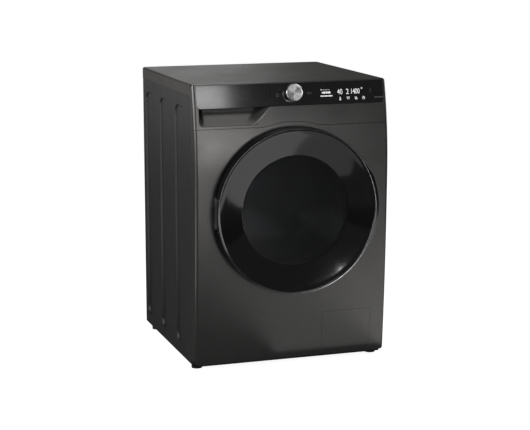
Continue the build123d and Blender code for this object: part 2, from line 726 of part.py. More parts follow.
def drawer_compartments():
    """X limits of the three compartments."""
    inside = BOX_RIGHT - BOX_LEFT - 4 * BOX_WALL
    width = inside / 3
    starts = [BOX_LEFT + BOX_WALL + index * (width + BOX_WALL) for index in range(3)]
    return [(start, start + width) for start in starts]


def siphon_cap():
    """Drop-in siphon of the softener compartment: a bridge plate with its tube."""
    x0, x1 = drawer_compartments()[-1]
    gap = PANEL_GAP
    back = BOX_BACK - BOX_WALL - gap
    floor = BOX_BOTTOM + BOX_WALL + gap
    plate_z = BOX_TOP - 22
    cap = block(x0 + gap, x1 - gap, back - 70, back, plate_z, plate_z + BOX_WALL)
    cap += block(x0 + gap, x1 - gap, back - 70, back - 70 + BOX_WALL, floor, plate_z + BOX_WALL)
    middle = (x0 + x1) / 2
    cap += post(8, middle, back - 35, floor, plate_z + 1, hole=5)
    return cap


def drawer_housing():
    """Fixed dispenser body that the drawer runs in, with its chute into the tub."""
    wall = HOUSING_WALL
    inner = (BOX_LEFT - HOUSING_GAP, BOX_RIGHT + HOUSING_GAP)
    floor = BOX_BOTTOM - RUNNER_GAP
    ceiling = BOX_TOP + 2 * HOUSING_GAP
    front = FRONT_RETURN
    body = block(inner[0] - wall, inner[1] + wall, front, HOUSING_BACK, floor - wall, ceiling + wall)
    flange = (inner[0] - wall - 1, DRAWER_RIGHT + 14)
    body += block(*flange, front, front + wall, floor - 2 * wall, SHEET_TOP)
    body -= block(inner[0], inner[1], front - 1, HOUSING_BACK - wall, floor, ceiling)
    chute_end = AXIS_Z + sqrt(TUB_RADIUS**2 - CHUTE_X**2) + 27
    body += post(CHUTE_RADIUS, CHUTE_X, CHUTE_DEPTH, chute_end, floor - wall / 2)
    body -= post(CHUTE_RADIUS - wall, CHUTE_X, CHUTE_DEPTH, chute_end - 1, floor + 1)
    body += disc(FILL_HOSE_BORE - 0.1, HOUSING_BACK - 1, HOUSING_BACK + 16, x=INLET_X, z=INLET_Z)
    body -= disc(FILL_HOSE_BORE - 2, HOUSING_BACK - 2 * wall, HOUSING_BACK + 17, x=INLET_X, z=INLET_Z)
    return body


def dial_knob():
    """Rotary selector: a turned cup with a fine rim, on its own shaft."""
    knob = dial_rod(DIAL_RADIUS, DIAL_STANDOFF, DIAL_HEIGHT)
    outward = Axis(dial_plane().origin, dial_plane().z_dir)
    face = knob.faces().sort_by(outward)[-1]
    knob = chamfer(face.edges(), 1.2)
    knob -= dial_rod(DIAL_RADIUS - 3, 0, DIAL_HEIGHT - 4)
    knob += dial_rod(DIAL_SHAFT, -DIAL_SHAFT_LENGTH, DIAL_HEIGHT - 3)
    knob += dial_rod(2.5 * DIAL_SHAFT, DIAL_STANDOFF, DIAL_HEIGHT - 3)
    return knob


def display_board():
    """Control electronics in a flat carrier, with the dial's encoder on it."""
    back = FRONT_RETURN + BOARD_THICKNESS
    board = block(DIAL_X - 13, PANEL_HALF - 10, FRONT_RETURN, back, PANEL_BOTTOM + 2, SHEET_TOP)
    encoder_front = bow_depth(DIAL_Z) + FASCIA_WALL + 3
    board += block(DIAL_X - 7, DIAL_X + 7, encoder_front, FRONT_RETURN + 1, DIAL_Z - 17, DIAL_Z - 7)
    board += dial_rod(8, -DIAL_SHAFT_LENGTH, -FASCIA_WALL - 2)
    return board - dial_rod(DIAL_SHAFT + RUNNING_CLEARANCE, -DIAL_SHAFT_LENGTH - 1, REACH)


# ---- door ----------------------------------------------------------------------------------------------------------------
def grip_outline(inner, outer):
    """The hand-grip bulge in X and Z: a flat-topped swelling of the rim on the right."""

    def spot(radius, angle):
        return (radius * cos(radians(angle)), AXIS_Z + radius * sin(radians(angle)))

    low, high = -GRIP_HALF_ANGLE, GRIP_HALF_ANGLE
    crest = ThreePointArc(spot(outer, low), spot(outer, 0), spot(outer, high))
    rim = DOOR_RADIUS - 1
    edge = Polyline(
        spot(outer, high),
        spot(rim, GRIP_END_ANGLE),
        spot(inner, GRIP_END_ANGLE),
        spot(inner, -GRIP_END_ANGLE),
        spot(rim, -GRIP_END_ANGLE),
        spot(outer, low),
    )
    face = make_face(Curve() + [crest, edge])
    return face - Pos(0, AXIS_Z) * Circle(inner)


def hinge_notch(front, back, right):
    return block(
        -DOOR_RADIUS - 1, right, front, back, AXIS_Z - HINGE_NOTCH_HALF, AXIS_Z + HINGE_NOTCH_HALF
    )


def cone_points(shift, start_radius, count=6):
    """Points down the door's dished cone, from its top to its foot."""
    points = []
    for index in range(count + 1):
        share = index / count
        radius = start_radius + (WINDOW_RADIUS + 1 - start_radius) * share
        depth = CONE_TOP + (CONE_FOOT - CONE_TOP) * share + CONE_DISH * 4 * share * (1 - share)
        points.append((radius, depth + shift))
    return points


def door_outer_ring():
    """Glossy outer moulding: upright rim, lip for the chrome ring, dished cone and hand grip."""
    wall = DOOR_WALL
    outside = [(DOOR_RADIUS, RIM_BACK), (DOOR_RADIUS - 1.5, RIM_BACK - 16), (RIM_FRONT_RADIUS, RIM_LIP)]
    lip = [(RING_INNER, RIM_LIP)]
    cone = cone_points(0, RING_INNER - 1.2)
    inside = list(reversed(cone_points(wall, RING_INNER - 2.2)))
    back = [(RING_INNER + 1.5, CONE_TOP + wall), (DOOR_RADIUS - 3.6, RIM_BACK)]
    ring = turned(outside + lip + cone + inside + back)
    inner = DOOR_RADIUS - 4
    crest = RIM_BACK - GRIP_HEIGHT
    cone = turned(
        [(inner, RIM_BACK), (GRIP_RADIUS, RIM_BACK), (GRIP_RADIUS - GRIP_DRAFT, crest), (inner, crest)]
    )
    ring += slab(grip_outline(inner, GRIP_RADIUS), crest, RIM_BACK) & cone
    return ring - hinge_notch(HINGE_NOTCH_FRONT, 0, HINGE_X + 4)


def door_trim_ring():
    """Thin bright ring on the rim's front lip."""
    inner, outer = RING_INNER + 0.4, RIM_FRONT_RADIUS - 0.4
    middle = (inner + outer) / 2
    return turned(
        [
            (inner, RIM_LIP),
            (inner + 0.5, -DOOR_PROUD + 0.5),
            (middle, -DOOR_PROUD),
            (outer - 0.5, -DOOR_PROUD + 0.5),
            (outer, RIM_LIP),
        ]
    )


def door_back_frame():
    """Inner half of the door: walls, back plate and the seats of the window and the bowl."""
    wall = DOOR_WALL
    frame = disc(FRAME_RADIUS, RIM_BACK - wall, FRAME_BACK, hole=FRAME_RADIUS - wall)
    frame += disc(DOOR_RADIUS - 4.3, RIM_BACK - wall, RIM_BACK, hole=FRAME_RADIUS - wall)
    frame += disc(FRAME_RADIUS, BOWL_FLANGE_BACK, FRAME_BACK, hole=FRAME_HOLE)
    seat = BOWL_FLANGE + PANEL_GAP
    frame += disc(seat + wall, WINDOW_SEAT, FRAME_BACK, hole=seat)
    frame += disc(seat + wall, WINDOW_SEAT, WINDOW_SEAT + wall, hole=WINDOW_RADIUS + 2)
    frame -= block(
        HOOK_X - 5, HOOK_X + 5, 0, FRAME_BACK + 1, AXIS_Z - HOOK_HEIGHT / 2 - 2, AXIS_Z + HOOK_HEIGHT / 2 + 2
    )
    notch = hinge_notch(-REACH, FRAME_BACK + 1, HINGE_X + 19)
    seat_x = HINGE_X + 7
    leaf_seat = block(
        seat_x, seat_x + 29, BOWL_FLANGE_BACK, FRAME_BACK, AXIS_Z - LEAF_HALF, AXIS_Z + LEAF_HALF
    )
    frame -= notch - leaf_seat
    for side in (-1, 1):
        z = AXIS_Z + side * (HOOK_HEIGHT / 2 + 2.3)
        low, high = sorted((z, z + side * 5))
        frame += block(HOOK_X - 5, HOOK_X + 5, HOOK_DEPTH - 5, BOWL_FLANGE_BACK + 1, low, high)
    return frame - hook_pivot(3 + RUNNING_CLEARANCE, HOOK_HEIGHT / 2 + 6)


def door_window():
    """Dark tinted outer window, stepped to stand flush inside the cone."""
    step = WINDOW_RADIUS + 8
    back = WINDOW_SEAT
    return turned(
        [
            (0, back),
            (step, back),
            (step, CONE_FOOT + DOOR_WALL + 0.3),
            (WINDOW_RADIUS, CONE_FOOT + DOOR_WALL + 0.3),
            (WINDOW_RADIUS, CONE_FOOT + 1.5),
            (WINDOW_RADIUS / 2, CONE_FOOT + 0.5),
            (0, CONE_FOOT),
        ]
    )


def door_glass_bowl():
    """Moulded glass bowl that reaches into the drum's mouth."""
    wall = BOWL_WALL
    front = BOWL_FLANGE_BACK - wall
    knee = BOWL_DEPTH - 14
    return turned(
        [
            (BOWL_FLANGE, front),
            (BOWL_FLANGE, BOWL_FLANGE_BACK),
            (BOWL_RADIUS, BOWL_FLANGE_BACK),
            (BOWL_END_RADIUS, knee),
            (BOWL_END_RADIUS - 6, BOWL_DEPTH - 4),
            (BOWL_END_RADIUS - 18, BOWL_DEPTH),
            (0, BOWL_DEPTH),
            (0, BOWL_DEPTH - wall),
            (BOWL_END_RADIUS - 20, BOWL_DEPTH - wall),
            (BOWL_END_RADIUS - 9, BOWL_DEPTH - 8),
            (BOWL_END_RADIUS - wall, knee - 2),
            (BOWL_RADIUS - wall, front),
        ]
    )


def hinge_post(radius, z0, z1, hole=0.0):
    return post(radius, HINGE_X, HINGE_DEPTH, z0, z1, hole)


def door_hinge_bracket():
    """Cabinet half of the hinge: a plate on the dish with two swan-neck arms."""
    floor = DISH_DEPTH
    plate_half = HINGE_HALF + 1
    bracket = block(HINGE_X - 3, HINGE_X + 30, floor - 3, floor, AXIS_Z - plate_half, AXIS_Z + plate_half)
    arm = make_face(
        Polyline(
            (HINGE_X - 2, at(HINGE_DEPTH + 4.5)),
            (HINGE_X + 4.5, at(HINGE_DEPTH + 12)),
            (HINGE_X + 5, at(floor - 3)),
            (HINGE_X + 16, at(floor - 3)),
            (HINGE_X + 16, at(HINGE_DEPTH + 9)),
            (HINGE_X + 5.5, at(HINGE_DEPTH)),
            close=True,
        )
    )
    height = HINGE_HALF - LEAF_HALF - KNUCKLE_GAP
    for z in (AXIS_Z - HINGE_HALF, AXIS_Z + HINGE_HALF - height):
        bracket += Pos(0, 0, z) * extrude(arm, amount=height)
        bracket += hinge_post(KNUCKLE_RADIUS, z, z + height)
    return bracket - hinge_post(PIN_RADIUS, AXIS_Z - HINGE_HALF - 1, AXIS_Z + HINGE_HALF + 1)


def door_hinge_pin():
    head = hinge_post(KNUCKLE_RADIUS, AXIS_Z + HINGE_HALF, AXIS_Z + HINGE_HALF + 2)
    return head + hinge_post(PIN_RADIUS, AXIS_Z - HINGE_HALF, AXIS_Z + HINGE_HALF)


def door_hinge_leaf():
    """Door half of the hinge: middle knuckle, web and a foot on the back frame."""
    low, high = AXIS_Z - LEAF_HALF, AXIS_Z + LEAF_HALF
    web_x = HINGE_X + 8
    leaf = hinge_post(KNUCKLE_RADIUS, low, high)
    leaf += block(HINGE_X, web_x + 3, HINGE_DEPTH - 1.5, HINGE_DEPTH + 1.5, low, high)
    leaf += block(web_x, web_x + 3, HINGE_DEPTH - 1.5, BOWL_FLANGE_BACK, low, high)
    leaf += block(web_x, web_x + 22, BOWL_FLANGE_BACK - 3, BOWL_FLANGE_BACK, low, high)
    return leaf - hinge_post(PIN_RADIUS + RUNNING_CLEARANCE, low - 1, high + 1)


def hook_pivot(radius, half):
    return post(radius, HOOK_X, HOOK_DEPTH, AXIS_Z - half, AXIS_Z + half)


def door_hook():
    """Sprung catch: trunnion, shank and barb."""
    half = HOOK_HEIGHT / 2
    tip = HOOK_DEPTH + HOOK_LENGTH
    outline = make_face(
        Polyline(
            (HOOK_X - 2, at(HOOK_DEPTH)),
            (HOOK_X - 2, at(tip)),
            (HOOK_X + 1, at(tip + 2)),
            (HOOK_X + 6, at(tip - 6)),
            (HOOK_X + 2, at(tip - 6)),
            (HOOK_X + 2, at(HOOK_DEPTH)),
            close=True,
        )
    )
    hook = Pos(0, 0, AXIS_Z - half) * extrude(outline, amount=2 * half)
    return hook + hook_pivot(4, half) + hook_pivot(3, half + 6)


def door_lock():
    """Electric lock behind the dish, with the slot that takes the hook."""
    floor = DISH_DEPTH + FRONT_SHEET
    lock = block(HOOK_X - 14, HOOK_X + 17, floor, floor + 36, AXIS_Z - 42, AXIS_Z + 42)
    half = HOOK_SLOT_HEIGHT / 2
    slot = HOOK_SLOT_WIDTH / 2
    return lock - block(HOOK_X - slot, HOOK_X + slot, floor - 1, floor + 29, AXIS_Z - half, AXIS_Z + half)


def door_gasket():
    """Rubber bellows from the front panel's mouth to the tub's neck."""
    front = DISH_DEPTH
    back = DISH_DEPTH + FRONT_SHEET
    mouth = MOUTH_RADIUS
    neck = NECK_RADIUS + PANEL_GAP
    return turned(
        [
            (mouth + 8, front - 3.4),
            (mouth + 8, front - 0.2),
            (mouth - 0.3, front - 0.2),
            (mouth - 0.3, back + 0.2),
            (mouth + 8, back + 0.2),
            (mouth + 8, back + 3.4),
            (mouth - 3, back + 3.8),
            (mouth - 5, back + 16),
            (neck + 9, 42),
            (neck + 11, 49),
            (neck + 9, 56),
            (neck + 3.2, NECK_FRONT - 4),
            (neck + 3.2, NECK_FRONT + 20),
            (neck, NECK_FRONT + 20),
            (neck, NECK_FRONT - 6),
            (neck + 6, 55),
            (neck + 7.6, 49),
            (neck + 6, 43),
            (mouth - 9, back + 17),
            (mouth - 9, back + 4),
            (BOWL_RADIUS + 12, back + 4),
            (BOWL_RADIUS - 3, back + 12),
            (BOWL_RADIUS - 6, back + 11),
            (BOWL_RADIUS - 5.4, back + 7),
            (BOWL_RADIUS + 10, front),
            (mouth - 8, front - 3.4),
        ]
    )


# ---- tub and drum ----------------------------------------------------------------------------------------------------------
def tub_front():
    """Front half of the outer tub, with the gasket's neck, the inlet funnel and the sump spigot."""
    wall = TUB_WALL
    tub = disc(TUB_RADIUS, TUB_FRONT, TUB_SPLIT, hole=TUB_RADIUS - wall)
    tub += disc(TUB_RADIUS, TUB_FRONT, TUB_FRONT + wall, hole=NECK_RADIUS - wall)
    tub += disc(NECK_RADIUS, NECK_FRONT, TUB_FRONT + 1, hole=NECK_RADIUS - wall)
    tub += disc(TUB_RIM, TUB_SPLIT - TUB_RIM_WIDTH, TUB_SPLIT, hole=TUB_RADIUS - wall)
    funnel_base = AXIS_Z + sqrt(TUB_RADIUS**2 - (CHUTE_X - CHUTE_RADIUS - 10) ** 2) - 12
    funnel_top = AXIS_Z + sqrt(TUB_RADIUS**2 - CHUTE_X**2) + 34
    funnel = post(CHUTE_RADIUS + 10, CHUTE_X, CHUTE_DEPTH, funnel_base, funnel_top)
    spigot_top = AXIS_Z - sqrt(TUB_RADIUS**2 - (PUMP_X + NOZZLE_RADIUS) ** 2) + 10
    spigot = post(NOZZLE_RADIUS, PUMP_X, SUMP_DEPTH, SUMP_SPIGOT_END, spigot_top)
    inside = disc(TUB_RADIUS - wall, TUB_FRONT + wall, TUB_SPLIT + 1)
    tub += funnel - inside
    tub += spigot - inside
    tub -= post(CHUTE_RADIUS + 7, CHUTE_X, CHUTE_DEPTH, AXIS_Z + 150, funnel_top + 1)
    return tub - post(NOZZLE_BORE, PUMP_X, SUMP_DEPTH, SUMP_SPIGOT_END - 1, AXIS_Z - 150)


def damper_places():
    return [(x, depth) for x in (-DAMPER_X, DAMPER_X) for depth in (DAMPER_FRONT_DEPTH, DAMPER_REAR_DEPTH)]


def tub_lug(x, depth):
    """Block under the tub that a damper rod bolts to."""
    base = AXIS_Z - sqrt(TUB_RADIUS**2 - (abs(x) + 10) ** 2)
    return block(x - 10, x + 10, depth - 10, depth + 10, ROD_TOP, base + 16)


def tub_rear():
    """Rear half of the outer tub, with the bearing housing and the lugs of springs, motor and dampers."""
    wall = TUB_WALL
    front = TUB_SPLIT + 0.2
    wall_back = TUB_BACK + TUB_BACK_WALL
    tub = disc(TUB_RADIUS, front, wall_back, hole=TUB_RADIUS - wall)
    tub += disc(TUB_RIM, front, front + TUB_RIM_WIDTH, hole=TUB_RADIUS - wall)
    tub += disc(TUB_RADIUS, TUB_BACK, wall_back)
    tub += disc(BEARING_HOUSING, TUB_BACK, BEARING_HOUSING_BACK)
    for index in range(TUB_RIBS):
        rib = block(-2.5, 2.5, wall_back - 1, wall_back + 16, AXIS_Z + 30, AXIS_Z + TUB_RADIUS - 12)
        spin = Pos(0, 0, AXIS_Z) * Rot(0, (index + 0.5) * 360 / TUB_RIBS, 0) * Pos(0, 0, -AXIS_Z)
        tub += spin * rib
    inside = disc(TUB_RADIUS - wall, front - 1, TUB_BACK)
    outer = Part()
    for x in (-SPRING_X, SPRING_X):
        lug = block(x - 14, x + 14, SPRING_BRACE_DEPTH - 12, SPRING_BRACE_DEPTH + 12, SPRING_LUG_FOOT, SPRING_LUG_Z)
        peg_radius = SPRING_COIL - SPRING_WIRE - PANEL_GAP
        outer += lug + post(peg_radius, x, SPRING_BRACE_DEPTH, SPRING_LUG_Z - 1, SPRING_LUG_Z + SPRING_PITCH)
    for x, depth in damper_places():
        if depth > TUB_SPLIT:
            outer += tub_lug(x, depth)
    for depth in (MOTOR_FRONT + 22, MOTOR_BACK - 60):
        outer += block(-24, 24, depth, depth + 18, MOTOR_Z + MOTOR_RADIUS + 12, AXIS_Z - TUB_RADIUS + 8)
    tub += outer - inside
    tub -= disc(SHAFT_RADIUS + 2, TUB_BACK - 1, BEARING_HOUSING_BACK + 1)
    tub -= disc(SEAL_RADIUS, SEAL_FRONT, SEAL_FRONT + 9)
    tub -= disc(BEARING_RADIUS, FRONT_BEARING, FRONT_BEARING + BEARING_WIDTH)
    tub -= disc(BEARING_RADIUS, REAR_BEARING, REAR_BEARING + BEARING_WIDTH)
    for x in (-HEATER_HALF_SPAN, HEATER_HALF_SPAN):
        z = AXIS_Z - sqrt(HEATER_ORBIT**2 - x**2)
        tub -= disc(HEATER_ROD + 0.2, TUB_BACK - 1, wall_back + 1, x=x, z=z)
    return tub


def tub_clips():
    """The two front damper lugs are clipped to the front half of the tub."""
    lugs = Part()
    inside = disc(TUB_RADIUS, TUB_FRONT, TUB_SPLIT)
    for x, depth in damper_places():
        if depth < TUB_SPLIT:
            lugs += tub_lug(x, depth) - inside
    return lugs


def drum_bearings():
    bearings = Part()
    for front in (FRONT_BEARING, REAR_BEARING):
        bearings += disc(
            BEARING_RADIUS, front, front + BEARING_WIDTH, hole=SHAFT_RADIUS + RUNNING_CLEARANCE
        )
    return bearings


def shaft_seal():
    return disc(SEAL_RADIUS, SEAL_FRONT, SEAL_FRONT + 9, hole=SHAFT_RADIUS + RUNNING_CLEARANCE)


def drum():
    """Stainless drum: shell, back plate and a turned-in front lip."""
    wall = DRUM_WALL
    return turned(
        [
            (DRUM_MOUTH, DRUM_FRONT),
            (DRUM_RADIUS - 6, DRUM_FRONT),
            (DRUM_RADIUS, DRUM_FRONT + 6),
            (DRUM_RADIUS, DRUM_BACK),
            (0, DRUM_BACK),
            (0, DRUM_BACK - wall),
            (DRUM_RADIUS - wall, DRUM_BACK - wall),
            (DRUM_RADIUS - wall, DRUM_FRONT + 6.6),
            (DRUM_RADIUS - 6.6, DRUM_FRONT + wall),
            (DRUM_MOUTH + wall, DRUM_FRONT + wall),
            (DRUM_MOUTH + wall, DRUM_FRONT + 8),
            (DRUM_MOUTH, DRUM_FRONT + 8),
        ]
    )


def drum_lifters():
    """Paddles that lift the laundry, evenly round the inside of the drum."""
    bore = DRUM_RADIUS - DRUM_WALL
    crest = bore - LIFTER_HEIGHT
    outline = make_face(
        Polyline(
            (-LIFTER_BASE / 2, AXIS_Z - bore - 2),
            (LIFTER_BASE / 2, AXIS_Z - bore - 2),
            (LIFTER_BASE / 2, AXIS_Z - bore + 6),
            (LIFTER_CREST / 2, AXIS_Z - crest),
            (-LIFTER_CREST / 2, AXIS_Z - crest),
            (-LIFTER_BASE / 2, AXIS_Z - bore + 6),
            close=True,
        )
    )
    for side in (-1, 1):
        outline = corner_round(outline, side * LIFTER_CREST / 2, AXIS_Z - crest, LIFTER_CREST / 3)
    lifter = slab(outline, LIFTER_FRONT, LIFTER_BACK) & disc(bore, LIFTER_FRONT, LIFTER_BACK)
    lifters = Part()
    for index in range(LIFTERS):
        turn = Pos(0, 0, AXIS_Z) * Rot(0, 60 + index * 360 / LIFTERS, 0) * Pos(0, 0, -AXIS_Z)
        lifters += turn * lifter
    return lifters


def drum_spider():
    """Cast three-armed carrier with the drum shaft."""
    back = DRUM_BACK + SPIDER_THICKNESS
    spider = disc(SPIDER_HUB, DRUM_BACK, back)
    arm = block(-SPIDER_ARM / 2, SPIDER_ARM / 2, DRUM_BACK, back, AXIS_Z, AXIS_Z + DRUM_RADIUS - 8)
    for index in range(LIFTERS):
        turn = Pos(0, 0, AXIS_Z) * Rot(0, index * 360 / LIFTERS, 0) * Pos(0, 0, -AXIS_Z)
        spider += turn * arm
    return spider + disc(SHAFT_RADIUS, DRUM_BACK, SHAFT_END)


def drum_pulley():
    """Large belt pulley: rim, thin web with lightening holes and hub."""
    back = PULLEY_FRONT + PULLEY_WIDTH
    middle = (PULLEY_FRONT + back) / 2
    pulley = disc(PULLEY_RADIUS, PULLEY_FRONT, back, hole=PULLEY_RADIUS - 7)
    pulley += disc(PULLEY_RADIUS - 6, middle - 3, middle + 3)
    pulley += disc(28, PULLEY_FRONT, back)
    orbit = (PULLEY_RADIUS + 20) / 2
    for index in range(PULLEY_HOLES):
        angle = radians(index * 360 / PULLEY_HOLES)
        x, z = orbit * sin(angle), AXIS_Z + orbit * cos(angle)
        pulley -= disc(PULLEY_HOLE, PULLEY_FRONT - 1, back + 1, x=x, z=z)
    return pulley - disc(SHAFT_RADIUS, PULLEY_FRONT - 1, back + 1)


def counterweight_front():
    """Concrete ring on the tub's face."""
    return disc(WEIGHT_OUTER, WEIGHT_FRONT, TUB_FRONT, hole=WEIGHT_INNER)


def counterweight_top():
    """Concrete block on the tub's upper right shoulder."""
    inner = TUB_RADIUS
    outer = TUB_RADIUS + TOP_WEIGHT_HEIGHT

    def spot(radius, angle):
        return (radius * cos(radians(angle)), AXIS_Z + radius * sin(radians(angle)))

    middle = (TOP_WEIGHT_START + TOP_WEIGHT_END) / 2
    start, end = TOP_WEIGHT_START, TOP_WEIGHT_END
    outer_arc = ThreePointArc(spot(outer, start), spot(outer, middle), spot(outer, end))
    inner_arc = ThreePointArc(spot(inner, end), spot(inner, middle), spot(inner, start))
    sides = [Line(outer_arc @ 1, inner_arc @ 0), Line(inner_arc @ 1, outer_arc @ 0)]
    face = make_face(Curve() + [outer_arc, inner_arc] + sides)
    return slab(face, TOP_WEIGHT_FRONT, TOP_WEIGHT_BACK)


def heater():
    """Two-legged immersion heater under the drum, flanged to the tub's back."""
    z = AXIS_Z - sqrt(HEATER_ORBIT**2 - HEATER_HALF_SPAN**2)
    wall_back = TUB_BACK + TUB_BACK_WALL
    element = Part()
    for x in (-HEATER_HALF_SPAN, HEATER_HALF_SPAN):
        element += disc(HEATER_ROD, HEATER_FRONT, wall_back + 16, x=x, z=z)
    element += block(
        -HEATER_HALF_SPAN, HEATER_HALF_SPAN, HEATER_FRONT, HEATER_FRONT + 2 * HEATER_ROD, z - 3, z + 3
    )
    span = HEATER_HALF_SPAN + 16
    return element + block(-span, span, wall_back, wall_back + 5, z - 9, z + 9)


# ---- drive and suspension -----------------------------------------------------------------------------------------------------
def motor_housing():
    """Stator shell with end shields, shaft bushes and the lugs that meet the tub's."""
    shell = disc(MOTOR_RADIUS, MOTOR_FRONT, MOTOR_BACK, z=MOTOR_Z)
    shell -= disc(MOTOR_RADIUS - MOTOR_WALL, MOTOR_FRONT + 5, MOTOR_BACK - 5, z=MOTOR_Z)
    for depth in (MOTOR_FRONT + 22, MOTOR_BACK - 60):
        lug_top = MOTOR_Z + MOTOR_RADIUS + 12
        shell += block(-18, 18, depth, depth + 18, MOTOR_Z + MOTOR_RADIUS - 4, lug_top)
    return shell - disc(ROTOR_SHAFT + RUNNING_CLEARANCE, MOTOR_FRONT - 1, MOTOR_BACK + 1, z=MOTOR_Z)


def motor_rotor():
    """Rotor, shaft and small belt pulley."""
    rotor = disc(ROTOR_RADIUS, MOTOR_FRONT + 16, MOTOR_BACK - 16, z=MOTOR_Z)
    rotor += disc(ROTOR_SHAFT, MOTOR_FRONT - 3, PULLEY_FRONT + PULLEY_WIDTH, z=MOTOR_Z)
    return rotor + disc(MOTOR_PULLEY, PULLEY_FRONT, PULLEY_FRONT + PULLEY_WIDTH, z=MOTOR_Z)


def belt_loop(grow):
    circles = [
        Pos(0, AXIS_Z) * CenterArc((0, 0), PULLEY_RADIUS + grow, 0, 360),
        Pos(0, MOTOR_Z) * CenterArc((0, 0), MOTOR_PULLEY + grow, 0, 360),
    ]
    return make_hull(circles[0].edges() + circles[1].edges())


def drive_belt():
    loop = belt_loop(BELT_GAP + BELT_THICKNESS) - belt_loop(BELT_GAP)
    front = PULLEY_FRONT + (PULLEY_WIDTH - BELT_WIDTH) / 2
    return slab(loop, front, front + BELT_WIDTH)


def suspension_springs():
    """Coil springs between the cross brace and the tub's lugs."""
    height = BRACE_BOTTOM - SPRING_LUG_Z - 2 * SPRING_WIRE - 2 * PANEL_GAP
    springs = Part()
    for x in (-SPRING_X, SPRING_X):
        path = Helix(pitch=SPRING_PITCH, height=height, radius=SPRING_COIL)
        section = Plane(origin=path @ 0, z_dir=path % 0) * Circle(SPRING_WIRE)
        coil = sweep(section, path=path)
        springs += Pos(x, at(SPRING_BRACE_DEPTH), SPRING_LUG_Z + SPRING_WIRE + PANEL_GAP) * coil
    return springs


def damper_cylinders():
    """Friction damper tubes on their feet, standing on the base tray."""
    floor = CABINET_BOTTOM + TRAY_FLOOR
    tubes = Part()
    for x, depth in damper_places():
        tubes += block(x - 13, x + 13, depth - 13, depth + 13, floor, floor + 16)
        tubes += post(DAMPER_RADIUS, x, depth, floor + 10, DAMPER_TOP)
    for x, depth in damper_places():
        tubes -= post(DAMPER_BORE, x, depth, floor + 20, DAMPER_TOP + 1)
    return tubes


def damper_rods():
    rods = Part()
    for x, depth in damper_places():
        rods += post(ROD_RADIUS, x, depth, PISTON_FOOT, ROD_TOP - 8)
        rods += post(PISTON_RADIUS, x, depth, PISTON_FOOT, PISTON_FOOT + 22)
        rods += block(x - 9, x + 9, depth - 9, depth + 9, ROD_TOP - 16, ROD_TOP)
    return rods


# ---- water in and out ------------------------------------------------------------------------------------------------------------
def inlet_valve():
    """Solenoid valve behind the rear panel, with its threaded inlet and hose nozzle."""
    front = REAR_INSIDE - 34
    valve = block(INLET_X - 19, INLET_X + 19, front, REAR_INSIDE, INLET_Z - 19, INLET_Z + 19)
    valve += post(12, INLET_X, front + 15, INLET_Z - 42, INLET_Z - 18)
    valve += disc(INLET_THREAD + 0.7, REAR_INSIDE - 1, BODY_DEPTH, x=INLET_X, z=INLET_Z)
    valve += disc(INLET_THREAD, BODY_DEPTH - 1, INLET_END, x=INLET_X, z=INLET_Z)
    valve += disc(FILL_HOSE_BORE - 0.1, front - 16, front + 1, x=INLET_X, z=INLET_Z)
    valve -= disc(8.5, BODY_DEPTH, INLET_END + 1, x=INLET_X, z=INLET_Z)
    return valve - disc(FILL_HOSE_BORE - 2, front - 17, BODY_DEPTH + 1, x=INLET_X, z=INLET_Z)


def fill_hose():
    front = HOUSING_BACK + 1
    back = REAR_INSIDE - 35
    return disc(FILL_HOSE_RADIUS, front, back, x=INLET_X, z=INLET_Z, hole=FILL_HOSE_BORE)


def mains_gland():
    gland = disc(GLAND_RADIUS, GLAND_FRONT, BODY_DEPTH + 1, x=GLAND_X, z=GLAND_Z)
    gland += disc(GLAND_FLANGE, BODY_DEPTH, GLAND_END, x=GLAND_X, z=GLAND_Z)
    gland += disc(GLAND_FLANGE, GLAND_FRONT, REAR_INSIDE, x=GLAND_X, z=GLAND_Z)
    return gland - disc(GLAND_BORE, GLAND_FRONT - 1, GLAND_END + 1, x=GLAND_X, z=GLAND_Z)


def pump_disc(radius, front, back, hole=0.0):
    return disc(radius, front, back, x=PUMP_X, z=PUMP_Z, hole=hole)


def drain_pump():
    """Filter housing, impeller chamber and pump motor, with the sump and drain nozzles."""
    wall = PUMP_WALL
    floor = CABINET_BOTTOM + TRAY_FLOOR
    pump = pump_disc(PUMP_RADIUS, PUMP_FRONT, PUMP_MOTOR_FRONT)
    pump += pump_disc(PUMP_RADIUS - 6, PUMP_MOTOR_FRONT, PUMP_BACK)
    for depth in (PUMP_FRONT + 20, PUMP_CHAMBER - 5):
        pump += block(PUMP_X - 20, PUMP_X + 20, depth, depth + 12, floor, PUMP_Z)
    pump += post(NOZZLE_RADIUS, PUMP_X, SUMP_DEPTH, PUMP_Z, PUMP_NOZZLE_TOP)
    outlet_front = PUMP_CHAMBER + 2
    pump += block(PUMP_X, DRAIN_X + DRAIN_BORE, outlet_front, PUMP_MOTOR_FRONT, PUMP_Z + 4, DRAIN_Z + DRAIN_BORE)
    pump += disc(DRAIN_BORE - 0.1, outlet_front, PUMP_BACK, x=DRAIN_X, z=DRAIN_Z)
    pump -= pump_disc(PUMP_RADIUS - wall, PUMP_FRONT - 1, PUMP_CHAMBER - wall)
    pump -= pump_disc(IMPELLER_RADIUS + 3, PUMP_CHAMBER - wall - 1, PUMP_MOTOR_FRONT - wall)
    pump -= pump_disc(3 + RUNNING_CLEARANCE, PUMP_MOTOR_FRONT - wall - 1, PUMP_BACK - 6)
    pump -= post(NOZZLE_BORE, PUMP_X, SUMP_DEPTH, PUMP_Z, PUMP_NOZZLE_TOP + 1)
    pump -= disc(DRAIN_BORE - 2.5, outlet_front + 4, PUMP_BACK + 1, x=DRAIN_X, z=DRAIN_Z)
    return pump


